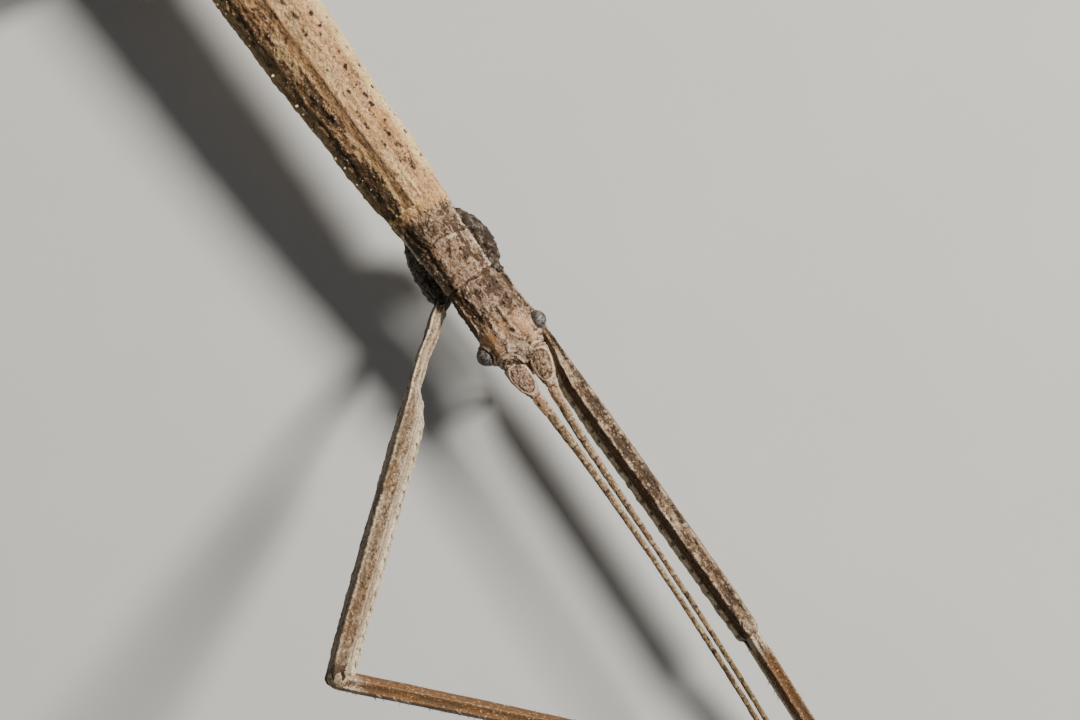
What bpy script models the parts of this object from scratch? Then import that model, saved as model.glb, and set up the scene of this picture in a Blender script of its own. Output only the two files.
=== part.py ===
"""A giant stick insect at life size, standing with one foreleg stretched forward and the other bent out to the side.

Frame: metres, +Z up, head towards -Y, the animal's left side towards +X. The soles of the feet lie at Z = 0 and
the origin is below the middle of the whole animal. All sizes below are in millimetres.
Every plate of the body and every joint of a limb is an object of its own, parted from its neighbour by a thin cut.
"""

import math

import bmesh
import bpy
from mathutils import Matrix, Vector

MM = 0.001
GAP = 0.2  # width of the thin cut between two plates

# ---- the body, measured backwards from the joint of head and prothorax -------------------------------------------
HEAD_LENGTH = 7.8
PROTHORAX_LENGTH = 7.9
MESOTHORAX_LENGTH = 36.0
METATHORAX_LENGTH = 20.0
ABDOMEN_LENGTHS = (6.5, 12.0, 12.5, 12.5, 12.0, 11.0, 9.0, 7.0, 5.5, 5.0)

# (distance behind the head, size) pairs; the sizes between them follow a smooth curve
BODY_HALF_WIDTH = ((0, 2.3), (3.5, 2.45), (7.9, 2.78), (10, 3.02), (14, 3.2), (26, 3.6), (44, 3.87), (66, 3.75),
                   (95, 3.55), (125, 3.25), (138, 2.8), (148, 2.25), (157.4, 1.8))
BODY_TOP = ((0, 1.9), (8, 2.2), (20, 2.6), (44, 3.0), (66, 2.9), (100, 2.7), (138, 2.2), (157.4, 1.3))
BODY_BOTTOM = ((0, 1.8), (8, 2.2), (20, 2.5), (44, 2.8), (66, 2.7), (100, 2.5), (138, 1.9), (157.4, 1.0))
BODY_AXIS_HEIGHT = ((-10, 7.9), (0, 8.0), (44, 8.3), (64, 8.3), (110, 7.6), (157.4, 6.4))
BODY_SIDES = 16
BOXINESS = 0.86  # 1 is an ellipse, less is squarer
PLATE_LIP = 0.035  # how much narrower a plate is where the one before overlaps it
PLATE_STATIONS = (0.0, 0.07, 0.35, 0.65, 0.93, 1.0)

# (distance in front of the joint, half width, top, bottom)
HEAD_SECTIONS = ((0.0, 2.1, 1.65, 1.5), (0.5, 2.3, 1.95, 1.8), (2.0, 2.42, 2.1, 2.0), (4.0, 2.48, 2.12, 2.05),
                 (5.7, 2.55, 2.05, 2.0), (6.9, 2.5, 1.9, 1.85), (7.8, 2.3, 1.6, 1.6))
FRONS_REACH = 0.5  # the ridge between the antennae stands this far in front of their sockets
MOUTH_SECTIONS = ((7.2, 1.55, -0.1, 1.75), (8.3, 1.4, -0.3, 1.85), (9.1, 1.05, -0.75, 1.8), (9.6, 0.6, -1.0, 1.6))
EYE_RADIUS = 0.85
EYE_FORWARD = 6.0
EYE_OUT = 2.62
EYE_UP = 0.45
PALP_LENGTHS = (0.8, 0.9, 0.7)
PALP_RADIUS = 0.27

# ---- antennae -----------------------------------------------------------------------------------------------------
SCAPE_LENGTH = 3.4
PEDICEL_LENGTH = 1.9
FLAGELLUM_LENGTH = 60.0
SCAPE_HALF_WIDTHS = (0.9, 1.0, 0.95, 0.68)
SCAPE_FLATNESS = 0.62
PEDICEL_RADII = (0.52, 0.5, 0.44)
FLAGELLUM_RADII = (0.41, 0.26)
FLAGELLUM_TAPER = 15.0  # distance over which it thins down
ANTENNA_SOCKET_SPREAD = 2.7  # between the two antennae at the head
ANTENNA_NEAR_SPREAD = 0.68  # between them once they run side by side
ANTENNA_CLOSING = 4.5  # distance over which they close up
ANTENNA_DRIFT = 0.0014  # sideways bend to the animal's right

# ---- limbs: lengths, then the half widths and half heights along each --------------------------------------------
FEMUR_LENGTHS = {"front": 38.3, "middle": 27.0, "hind": 33.0}
TIBIA_LENGTHS = {"front": 39.0, "middle": 26.5, "hind": 36.0}
TARSUS_LENGTHS = {"front": 10.0, "middle": 8.0, "hind": 9.0}
# (share of the length, half width, half height, shift towards the head); the front femur's neck bows away from it
FRONT_FEMUR = ((0.0, 0.58, 0.6, 0.0), (0.08, 0.54, 0.58, -0.12), (0.16, 0.48, 0.56, -0.36), (0.23, 0.48, 0.58, -0.36),
               (0.28, 0.82, 0.78, -0.1), (0.33, 1.04, 0.94, 0.04), (0.42, 1.09, 1.0, 0.02), (0.65, 1.07, 1.0, -0.04),
               (0.9, 1.04, 1.0, -0.08), (0.97, 0.98, 0.95, -0.04), (1.0, 0.72, 0.7, 0.0))
OTHER_FEMUR = ((0.0, 0.6, 0.65, 0.0), (0.06, 0.85, 0.9, 0.0), (0.3, 1.0, 1.05, 0.0), (0.7, 0.95, 0.98, 0.0),
               (0.93, 1.0, 0.98, 0.0), (0.97, 0.95, 0.9, 0.0), (1.0, 0.7, 0.65, 0.0))
TIBIA = ((0.0, 0.52, 0.5, 0.0), (0.025, 0.72, 0.68, 0.0), (0.3, 0.74, 0.68, 0.0), (0.85, 0.7, 0.64, 0.0),
         (0.97, 0.76, 0.7, 0.0), (1.0, 0.55, 0.5, 0.0))
# outline across a limb: the top face is narrower than the underside, and the sides meet both in low ridges
LIMB_OUTLINE = ((0.5, 1.0), (0.8, 0.3), (1.0, -0.78), (0.55, -1.0), (-0.55, -1.0), (-1.0, -0.78), (-0.8, 0.3), (-0.5, 1.0))
COXA_RADII = (0.8, 1.05, 1.05, 0.95, 0.66)
COXA_SIDES = 10
COXA_BULGES = {"front_left": 0.45, "front_right": 0.1}  # sideways bow of the middle of the coxa
COXA_LENGTHS = {"front": 5.0, "middle": 4.0, "hind": 4.2}
ANKLE_HEIGHT = 1.15
# share of the foot's length, half width and top of each station, for five joints of the foot
TARSUS_STATIONS = ((0.0, 0.32, 1.25), (0.08, 0.4, 1.05), (0.4, 0.4, 0.85), (0.44, 0.3, 0.66), (0.5, 0.4, 0.8),
                   (0.6, 0.4, 0.78), (0.63, 0.3, 0.62), (0.68, 0.4, 0.75), (0.76, 0.3, 0.6), (0.82, 0.36, 0.75),
                   (0.96, 0.45, 0.85), (1.0, 0.32, 0.7))
FOOT_LIFT = ((0.0, 0.55), (0.08, 0.25), (0.16, 0.0))  # the underside comes down to the floor from the ankle
CLAW_LENGTH = 1.5
CLAW_RADIUS = 0.28
CLAW_SPREAD = 28.0  # degrees each side of the foot

# each leg: side (+1 left), distance behind the head of its joint with the coxa, how far out, height below the body axis,
# then degrees from straight ahead and above level of the femur, degrees from ahead of tibia and foot, and femur roll
LEGS = {
    "front_left": (1, 0.0, 2.32, 2.35, -0.9, 1.6, -3.4, 2.0, 14.0),
    "front_right": (-1, 0.0, 3.0, 1.7, 50.3, 34.2, -37.8, -8.0, 0.0),
    "middle_left": (1, 41.0, 4.9, 2.2, 78.0, 28.0, 92.0, 88.0, 0.0),
    "middle_right": (-1, 41.0, 4.9, 2.2, 106.0, 28.0, 98.0, 104.0, 0.0),
    "hind_left": (1, 61.5, 4.9, 2.2, 141.0, 23.0, 150.0, 146.0, 0.0),
    "hind_right": (-1, 61.5, 4.9, 2.2, 133.0, 24.0, 146.0, 150.0, 0.0),
}

# ---- tail ---------------------------------------------------------------------------------------------------------
OPERCULUM_LENGTH = 13.5
OPERCULUM_START = 141.5
OPERCULUM_SECTIONS = ((0.0, 1.7, 0.7), (0.25, 1.75, 1.0), (0.65, 1.3, 0.95), (0.9, 0.7, 0.6), (1.0, 0.3, 0.3))
CERCUS_LENGTH = 2.0
CERCUS_RADII = (0.36, 0.42, 0.28)

COLOURS = {
    "cuticle_body": ((0.42, 0.27, 0.17, 1), 0.6),
    "cuticle_legs": ((0.45, 0.29, 0.18, 1), 0.6),
    "cuticle_antennae": ((0.38, 0.26, 0.17, 1), 0.6),
    "eyes": ((0.12, 0.1, 0.09, 1), 0.25),
    "claws": ((0.12, 0.06, 0.03, 1), 0.35),
}


# ---- shared helpers -----------------------------------------------------------------------------------------------
def smooth(pairs, x):
    """The value at x of a smooth curve through (place, value) pairs."""
    if x <= pairs[0][0]:
        return pairs[0][1]
    for (x0, v0), (x1, v1) in zip(pairs, pairs[1:]):
        if x <= x1:
            t = (x - x0) / (x1 - x0)
            return v0 + (v1 - v0) * t * t * (3 - 2 * t)
    return pairs[-1][1]


def place(forward, left, height):
    """A point from its distances ahead of the head joint, to the animal's left, and above the floor."""
    return Vector((left, -forward, height))


def heading(side, ahead_deg, up_deg=0.0):
    """The direction that many degrees out from straight ahead, on that side, and above level."""
    a, e = math.radians(ahead_deg), math.radians(up_deg)
    return place(math.cos(a) * math.cos(e), side * math.sin(a) * math.cos(e), math.sin(e))


def materials():
    made = {}
    for name, (colour, roughness) in COLOURS.items():
        material = bpy.data.materials.new(name)
        material.use_nodes = True
        shader = material.node_tree.nodes["Principled BSDF"]
        shader.inputs["Base Color"].default_value = colour
        shader.inputs["Roughness"].default_value = roughness
        made[name] = material
    return made


def lofted(name, rings, material, tip=None):
    """One closed object through rings of points in millimetres, with flat ends or a pointed far end."""
    mesh = bmesh.new()
    loops = [[mesh.verts.new(p * MM) for p in ring] for ring in rings]
    for near, far in zip(loops, loops[1:]):
        for k in range(len(near)):
            after = (k + 1) % len(near)
            mesh.faces.new((near[k], near[after], far[after], far[k]))
    mesh.faces.new(loops[0][::-1])
    if tip is None:
        mesh.faces.new(loops[-1])
    else:
        point = mesh.verts.new(tip * MM)
        for k, corner in enumerate(loops[-1]):
            mesh.faces.new((corner, loops[-1][(k + 1) % len(loops[-1])], point))
    bmesh.ops.triangulate(mesh, faces=[f for f in mesh.faces if len(f.verts) > 4])
    bmesh.ops.recalc_face_normals(mesh, faces=mesh.faces)
    data = bpy.data.meshes.new(name)
    mesh.to_mesh(data)
    mesh.free()
    data.materials.append(material)
    data.shade_smooth()
    data.set_sharp_from_angle(angle=math.radians(50))
    made = bpy.data.objects.new(name, data)
    bpy.context.scene.collection.objects.link(made)
    return made


def cut(target, cutter, operation="DIFFERENCE"):
    """Cuts target with a helper that stays out of the model, or joins the helper to it."""
    modifier = target.modifiers.new(cutter.name, "BOOLEAN")
    modifier.operation = operation
    modifier.solver = "EXACT"
    modifier.object = cutter
    cutter.hide_render = True
    cutter.display_type = "WIRE"


def frames_along(points):
    """A side and an up direction at each point of a path, square to the path there."""
    found = []
    for k, point in enumerate(points):
        along = (points[min(k + 1, len(points) - 1)] - points[max(k - 1, 0)]).normalized()
        side = along.cross(Vector((0, 0, 1))).normalized()
        found.append((point, side, side.cross(along)))
    return found


def tube(name, points, radii, sides, material, flatness=1.0):
    """A round or flattened tube along a path."""
    rings = []
    for (point, side, up), radius in zip(frames_along(points), radii):
        angles = [2 * math.pi * (k + 0.5) / sides for k in range(sides)]
        rings.append([point + side * (radius * math.cos(a)) + up * (radius * flatness * math.sin(a)) for a in angles])
    return lofted(name, rings, material)


# ---- head, thorax and abdomen -------------------------------------------------------------------------------------
def body_ring(behind, half_width, top, bottom, grow=0.0):
    """The outline of the body at a distance behind the head joint, with a ridge above, below and at each side."""
    middle = smooth(BODY_AXIS_HEIGHT, behind)
    ring = []
    for k in range(BODY_SIDES):
        c, s = math.cos(2 * math.pi * k / BODY_SIDES), math.sin(2 * math.pi * k / BODY_SIDES)
        out = (half_width + grow) * math.copysign(abs(c) ** BOXINESS, c)
        up = ((top if s > 0 else bottom) + grow) * math.copysign(abs(s) ** BOXINESS, s)
        ring.append(place(-behind, out, middle + up))
    return ring


def plate(name, start, length, material, grow=0.0):
    """One ring-shaped plate of thorax or abdomen; its front edge is drawn in under the plate before it."""
    rings = []
    for share in PLATE_STATIONS:
        behind = start + GAP / 2 + share * (length - GAP)
        lip = 1 - PLATE_LIP * (1 - min(share / PLATE_STATIONS[1], 1.0)) - PLATE_LIP / 2 * (share == 1.0)
        sizes = [smooth(pairs, behind) * lip for pairs in (BODY_HALF_WIDTH, BODY_TOP, BODY_BOTTOM)]
        rings.append(body_ring(behind, *sizes, grow))
    return lofted(name, rings, material)


def body_plates():
    """(name, distance behind the head, length) of each plate."""
    lengths = [("prothorax", PROTHORAX_LENGTH), ("mesothorax", MESOTHORAX_LENGTH), ("metathorax", METATHORAX_LENGTH)]
    lengths += [(f"abdomen_{k:02d}", length) for k, length in enumerate(ABDOMEN_LENGTHS, 1)]
    start = 0.0
    for name, length in lengths:
        yield name, start, length
        start += length


def head_shape(name, material, grow=0.0):
    rings = [body_ring(-forward - GAP / 2, half_width, top, bottom, grow)
             for forward, half_width, top, bottom in HEAD_SECTIONS]
    front = HEAD_SECTIONS[-1][0] + FRONS_REACH + grow
    return lofted(name, rings, material, tip=place(front, 0, smooth(BODY_AXIS_HEIGHT, -front) + 0.4))


def eye(name, side, radius, material):
    """A compound eye: a ball set in the side of the head."""
    mesh = bmesh.new()
    bmesh.ops.create_uvsphere(mesh, u_segments=12, v_segments=8, radius=radius * MM)
    data = bpy.data.meshes.new(name)
    mesh.to_mesh(data)
    mesh.free()
    data.materials.append(material)
    data.shade_smooth()
    made = bpy.data.objects.new(name, data)
    centre = place(EYE_FORWARD, side * EYE_OUT, smooth(BODY_AXIS_HEIGHT, -EYE_FORWARD) + EYE_UP)
    made.location = centre * MM
    made.rotation_euler = (0, math.radians(90), 0)
    bpy.context.scene.collection.objects.link(made)
    return made


def head(finish):
    body, eyes = finish["cuticle_body"], finish["eyes"]
    skull = head_shape("head", body)
    for word, side in (("left", 1), ("right", -1)):
        cut(skull, eye(f"socket_{word}", side, EYE_RADIUS + GAP / 2, body))
        eye(f"eye_{word}", side, EYE_RADIUS, eyes)
    mouth = lofted("mouthparts", [mouth_ring(*section) for section in MOUTH_SECTIONS], body)
    cut(mouth, head_shape("mouth_cutter", body, grow=GAP))
    for word, side in (("left", 1), ("right", -1)):
        palp(f"palp_{word}", side, body)


def mouth_ring(forward, half_width, top, bottom):
    middle = smooth(BODY_AXIS_HEIGHT, -forward)
    ring = []
    for k in range(10):
        a = 2 * math.pi * (k + 0.5) / 10
        height = middle + (top - bottom) / 2 + (top + bottom) / 2 * math.sin(a)
        ring.append(place(forward, half_width * math.cos(a), height))
    return ring


def palp(name, side, material):
    """A jointed feeler of the mouth, hanging forward and down beside the jaws."""
    last = MOUTH_SECTIONS[-1]
    points = [place(last[0] - 1.2, side * 0.8, smooth(BODY_AXIS_HEIGHT, -last[0]) - 2.25)]
    for k, length in enumerate(PALP_LENGTHS):
        points.append(points[-1] + heading(side, 2 + 2 * k, -40 - 22 * k) * length)
    radii = [PALP_RADIUS * share for share in (0.95, 1.0, 1.0, 0.9)]
    tube(name, points, radii, 6, material)


# ---- antennae -----------------------------------------------------------------------------------------------------
def antenna_point(side, forward):
    """Where an antenna runs at a distance ahead of the head joint: the two close up side by side, then bend to the right."""
    ahead = forward - HEAD_LENGTH
    spread = ANTENNA_NEAR_SPREAD + (ANTENNA_SOCKET_SPREAD - ANTENNA_NEAR_SPREAD) * math.exp(-ahead / ANTENNA_CLOSING)
    middle = -0.7 * (1 - math.exp(-ahead / ANTENNA_CLOSING)) - ANTENNA_DRIFT * max(ahead - 8.0, 0.0) ** 2
    height = 8.55 + 0.05 * ahead - 0.0008 * ahead ** 2
    return place(forward, middle + side * spread / 2, height)


def antenna(word, side, material):
    start = HEAD_LENGTH + 0.1
    spans = (("scape", SCAPE_LENGTH), ("pedicel", PEDICEL_LENGTH), ("flagellum", FLAGELLUM_LENGTH))
    shapes = {
        "scape": (SCAPE_HALF_WIDTHS, 8, SCAPE_FLATNESS),
        "pedicel": (PEDICEL_RADII, 8, 1.0),
        "flagellum": ([smooth(((0, FLAGELLUM_RADII[0]), (FLAGELLUM_TAPER, FLAGELLUM_RADII[1])), 3.0 * k)
                       for k in range(21)], 6, 1.0),
    }
    for part, length in spans:
        radii, sides, flatness = shapes[part]
        steps = len(radii) - 1
        points = [antenna_point(side, start + GAP / 2 + (length - GAP) * k / steps) for k in range(steps + 1)]
        made = tube(f"{part}_{word}", points, radii, sides, material, flatness)
        if part == "scape":
            cut(made, head_shape(f"scape_cutter_{word}", material, grow=GAP / 2))
        start += length


# ---- legs ---------------------------------------------------------------------------------------------------------
def limb(name, start, end, stations, side, roll_deg, planes, material):
    """A femur or tibia between two points. A plane given for an end is the slanting cut of a bent joint there."""
    along = (end - start).normalized()
    up = Vector((0, 0, 1)) - along * along.z
    up.normalize()
    across = along.cross(up) * side
    turn = Matrix.Rotation(math.radians(-side * roll_deg), 3, along)
    across, up = turn @ across, turn @ up
    length = (end - start).length
    rings = []
    for share, half_width, half_height, shift in stations:
        middle = start + along * (length * share) + across * shift
        rings.append([middle + across * (a * half_width) + up * (b * half_height) for a, b in LIMB_OUTLINE])
    for plane, sign, order in ((planes[0], 1, 1), (planes[1], -1, -1)):
        if plane is None:
            continue
        point, normal = plane
        for ring in rings[::order][:2]:
            for k, corner in enumerate(ring):
                short = (corner - point).dot(normal) * sign - GAP / 2
                if ring is rings[::order][0] or short < 0.15:
                    keep = 0.0 if ring is rings[::order][0] else 0.15
                    ring[k] = corner + along * ((keep - short) * sign / along.dot(normal))
    return lofted(name, rings, material)


def clear_of(before, along, half_height, tip, half_width):
    """How far past a joint the next piece starts, so that it clears the end of the one before it."""
    turn = before.angle(along)
    reach = math.hypot(tip * math.cos(turn), half_height * math.sin(turn)) + GAP
    if turn > math.pi / 2:
        reach = max(reach, (half_height + GAP - half_width * math.cos(turn)) / math.sin(turn))
    return reach


def coxa(name, side, root, joint, bulge, body_cutter, material):
    """The short first joint of a leg, laid against the side of the thorax."""
    points = []
    for share in (0.0, 0.25, 0.55, 0.85, 1.0):
        points.append(root.lerp(joint, share) + place(0, side * bulge * 4 * share * (1 - share), 0))
    made = tube(name, points, COXA_RADII, COXA_SIDES, material)
    cut(made, body_cutter)


def foot(name, ankle, along, length, material):
    """The five-jointed foot, lying flat on the floor."""
    side = Vector((-along.y, along.x, 0))
    rings = []
    for share, half_width, top in TARSUS_STATIONS:
        low = smooth(FOOT_LIFT, share)
        middle = Vector((ankle.x, ankle.y, 0)) + along * (length * share)
        tall = top - low
        outline = ((0.6, 0.0), (1.0, 0.35), (0.95, 0.65), (0.5, 1.0), (-0.5, 1.0), (-0.95, 0.65), (-1.0, 0.35), (-0.6, 0.0))
        rings.append([middle + side * (a * half_width) + Vector((0, 0, low + b * tall)) for a, b in outline])
    return lofted(name, rings, material)


def claws(name, toe, along, material):
    """Two hooked claws on a common root."""
    root = tube(name, [toe + along * (d * 0.25) + Vector((0, 0, 0.42)) for d in (0, 1.4, 2.8)],
                (0.3, 0.36, 0.2), 6, material)
    for word, sign in (("a", 1), ("b", -1)):
        out = Matrix.Rotation(math.radians(sign * CLAW_SPREAD), 3, "Z") @ along
        points = [toe + Vector((0, 0, 0.48)) + out * (0.1 + CLAW_LENGTH * t) + Vector((0, 0, 0.55 * t * (0.65 - t)))
                  for t in (0.0, 0.35, 0.7, 1.0)]
        hook = tube(f"{name}_{word}", points, [CLAW_RADIUS * s for s in (0.9, 1.0, 0.85, 0.4)], 6, material)
        cut(root, hook, "UNION")


def leg(name, body_cutters, finish):
    side, behind, out, below, femur_ahead, femur_up, tibia_ahead, foot_ahead, roll = LEGS[name]
    pair = name.split("_")[0]
    skin = finish["cuticle_legs"]
    axis = smooth(BODY_AXIS_HEIGHT, behind)
    joint = place(-behind, side * out, axis - below)
    if pair == "front":
        root = place(-behind - COXA_LENGTHS[pair], side * 2.25, axis - 1.5)
    else:
        root = place(-behind - 1.0, side * 2.2, axis - 1.2)
    coxa_along = (joint - root).normalized()
    coxa(f"coxa_{name}", side, root, joint - coxa_along * 0.3, COXA_BULGES.get(name, 0.0), body_cutters[pair], skin)

    along = heading(side, femur_ahead, femur_up)
    knee = joint + along * FEMUR_LENGTHS[pair]
    drop = knee.z - ANKLE_HEIGHT
    tibia_along = heading(side, tibia_ahead, -math.degrees(math.asin(drop / TIBIA_LENGTHS[pair])))
    ankle = knee + tibia_along * TIBIA_LENGTHS[pair]
    bend = (knee, (along + tibia_along).normalized())
    start = joint + along * clear_of(coxa_along, along, 0.75, 0.0, 0.6)
    shape = FRONT_FEMUR if pair == "front" else OTHER_FEMUR
    limb(f"femur_{name}", start, knee, shape, side, roll, (None, bend), skin)
    limb(f"tibia_{name}", knee, ankle, TIBIA, side, roll, (bend, None), skin)

    toes_along = heading(side, foot_ahead)
    heel = ankle + toes_along * (clear_of(tibia_along, toes_along, 0.5, 0.0, 0.4) + 0.05)
    length = TARSUS_LENGTHS[pair]
    foot(f"tarsus_{name}", heel, toes_along, length, skin)
    toe = Vector((heel.x, heel.y, 0)) + toes_along * (length + GAP)
    claws(f"claws_{name}", toe, toes_along, finish["claws"])


# ---- tail ---------------------------------------------------------------------------------------------------------
def operculum(material):
    """The keeled plate under the end of the abdomen."""
    rings = []
    for share, half_width, depth in OPERCULUM_SECTIONS:
        behind = OPERCULUM_START + OPERCULUM_LENGTH * share
        top = smooth(BODY_AXIS_HEIGHT, behind) - smooth(BODY_BOTTOM, behind) - GAP + 1.2
        rings.append([place(-behind, half_width * math.cos(a), top - 1.2 * (math.sin(a) < 0.1) - depth * max(-math.sin(a), 0))
                      for a in (2 * math.pi * k / 12 for k in range(12))])
    made = lofted("operculum", rings, material)
    for name, start, length in list(body_plates())[-4:]:
        cut(made, plate(f"{name}_cutter", start - GAP, length + 2 * GAP, material, grow=GAP))
    return made


def cercus(name, side, material):
    """One of the two short feelers at the tip of the abdomen."""
    behind = sum(length for *_, length in body_plates()) + 0.1
    start = place(-behind, side * 0.8, smooth(BODY_AXIS_HEIGHT, behind) - 0.1)
    along = heading(side, 168, -6)
    points = [start + along * (CERCUS_LENGTH * share) for share in (0.0, 0.5, 1.0)]
    tube(name, points, CERCUS_RADII, 6, material)


# ---- the whole animal ---------------------------------------------------------------------------------------------
def centre_over_origin():
    """Moves everything sideways, so that the origin lies below the middle of the model's box."""
    bpy.context.view_layer.update()
    graph = bpy.context.evaluated_depsgraph_get()
    corners = []
    for piece in bpy.context.scene.collection.objects:
        if not piece.hide_render:
            seen = piece.evaluated_get(graph)
            corners += [seen.matrix_world @ Vector(corner) for corner in seen.bound_box]
    middle = [(min(c[k] for c in corners) + max(c[k] for c in corners)) / 2 for k in (0, 1)]
    for piece in bpy.context.scene.collection.objects:
        piece.location -= Vector((middle[0], middle[1], 0))


def main():
    for left_over in list(bpy.data.objects):
        bpy.data.objects.remove(left_over)
    finish = materials()
    head(finish)
    cutters = {}
    for name, start, length in body_plates():
        plate(name, start, length, finish["cuticle_body"])
    for pair, start, length in (("front", 0.0, PROTHORAX_LENGTH + 2), ("middle", 30.0, 20.0), ("hind", 52.0, 20.0)):
        cutters[pair] = plate(f"{pair}_cutter", start, length, finish["cuticle_body"], grow=GAP)
        cutters[pair].hide_render = True
    for word, side in (("left", 1), ("right", -1)):
        antenna(word, side, finish["cuticle_antennae"])
        cercus(f"cercus_{word}", side, finish["cuticle_body"])
    operculum(finish["cuticle_body"])
    for name in LEGS:
        leg(name, cutters, finish)
    centre_over_origin()


main()
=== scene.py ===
"""The giant stick insect: fine skins, grains, bristles, eyes and claws over the solids of the frame."""

import math
from functools import partial

import bpy
import numpy as np
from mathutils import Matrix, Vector


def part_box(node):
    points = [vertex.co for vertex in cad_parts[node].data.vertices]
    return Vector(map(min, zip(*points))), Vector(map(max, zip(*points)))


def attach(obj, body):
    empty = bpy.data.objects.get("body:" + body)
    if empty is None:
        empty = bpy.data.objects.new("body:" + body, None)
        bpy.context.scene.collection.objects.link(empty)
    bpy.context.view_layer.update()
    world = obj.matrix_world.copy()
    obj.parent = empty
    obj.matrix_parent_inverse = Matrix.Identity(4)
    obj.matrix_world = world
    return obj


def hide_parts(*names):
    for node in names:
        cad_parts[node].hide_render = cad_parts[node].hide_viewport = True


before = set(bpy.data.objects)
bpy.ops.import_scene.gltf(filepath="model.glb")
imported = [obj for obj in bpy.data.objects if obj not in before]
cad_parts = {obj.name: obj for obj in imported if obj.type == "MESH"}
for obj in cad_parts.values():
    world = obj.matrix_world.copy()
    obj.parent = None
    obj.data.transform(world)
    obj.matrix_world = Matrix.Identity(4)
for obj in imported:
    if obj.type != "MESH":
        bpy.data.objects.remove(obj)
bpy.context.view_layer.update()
MM = 0.001
FULL_TURN = 2 * math.pi
SIDES_OF_BODY = (("left", 1), ("right", -1))

# Sizes are in millimetres. The joint of head and prothorax is the zero of the body: F runs forward from it
# and L to the animal's left, while heights start at the floor.
HEAD_BOX, PROTHORAX_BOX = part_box("head"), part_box("prothorax")
JOINT_X = (PROTHORAX_BOX[0][0] + PROTHORAX_BOX[1][0]) / 2 / MM
JOINT_Y = (HEAD_BOX[1][1] + PROTHORAX_BOX[0][1]) / 2 / MM

# ---- camera, floor and light ---------------------------------------------------------------------
BODY_HEIGHT = 8.0
VIEW_DISTANCE = 0.36
VIEW_WIDTH = 0.0918
VIEW_CENTRE = (8.93, 0.87)
VIEW_TURN = math.radians(-36.0)
SENSOR = 36.0
FLOOR_HALF = 1.5
# name, the direction it comes from, its distance and size in metres, its power in watts, and its colour
LIGHTS = (("key_light", (0.86, -0.12, 0.72), 0.7, 0.19, 9.8, (1.0, 0.96, 0.90)),
          ("fill_light", (-0.5, 0.4, 0.8), 0.8, 0.5, 0.3, (0.95, 0.97, 1.0)))
SKY_COLOUR, SKY_STRENGTH = (0.9, 0.95, 1.0, 1), 0.07


def at(forward, left, height):
    """A place in mm from its distances ahead of the head joint, to the left, and above the floor."""
    return np.stack(np.broadcast_arrays(JOINT_X + left, JOINT_Y - forward, height), -1).astype(float)


def put(name, data):
    made = bpy.data.objects.new(name, data)
    bpy.context.scene.collection.objects.link(made)
    return made


def add_camera():
    data = bpy.data.cameras.new("camera")
    data.sensor_width = SENSOR
    data.lens = SENSOR * VIEW_DISTANCE / VIEW_WIDTH
    data.clip_start = 0.001
    camera = put("camera", data)
    camera.location = Vector(at(*VIEW_CENTRE, BODY_HEIGHT) * MM) + Vector((0, 0, VIEW_DISTANCE))
    camera.rotation_euler = (0, 0, VIEW_TURN)
    bpy.context.scene.camera = camera


def add_surroundings():
    for name, direction, distance, size, power, colour in LIGHTS:
        data = bpy.data.lights.new(name, "AREA")
        data.shape, data.size, data.energy, data.color = "DISK", size, power, colour
        light = put(name, data)
        light.location = Vector(direction).normalized() * distance
        light.rotation_euler = Vector(direction).to_track_quat("Z", "Y").to_euler()
    world = bpy.data.worlds.new("studio")
    world.use_nodes = True
    sky = world.node_tree.nodes["Background"]
    sky.inputs["Color"].default_value, sky.inputs["Strength"].default_value = SKY_COLOUR, SKY_STRENGTH
    bpy.context.scene.world = world
    mesh = bpy.data.meshes.new("floor")
    corners = [(x * FLOOR_HALF, y * FLOOR_HALF, 0) for x, y in ((-1, -1), (1, -1), (1, 1), (-1, 1))]
    mesh.from_pydata(corners, [], [(0, 1, 2, 3)])
    make = Nodes("floor_paper")
    paper = make.mix(make.noise(make.position(), 60.0, 3), (0.60, 0.61, 0.59), (0.66, 0.66, 0.64))
    mesh.materials.append(make.finish(paper, 0.85))
    put("floor", mesh)


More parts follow.
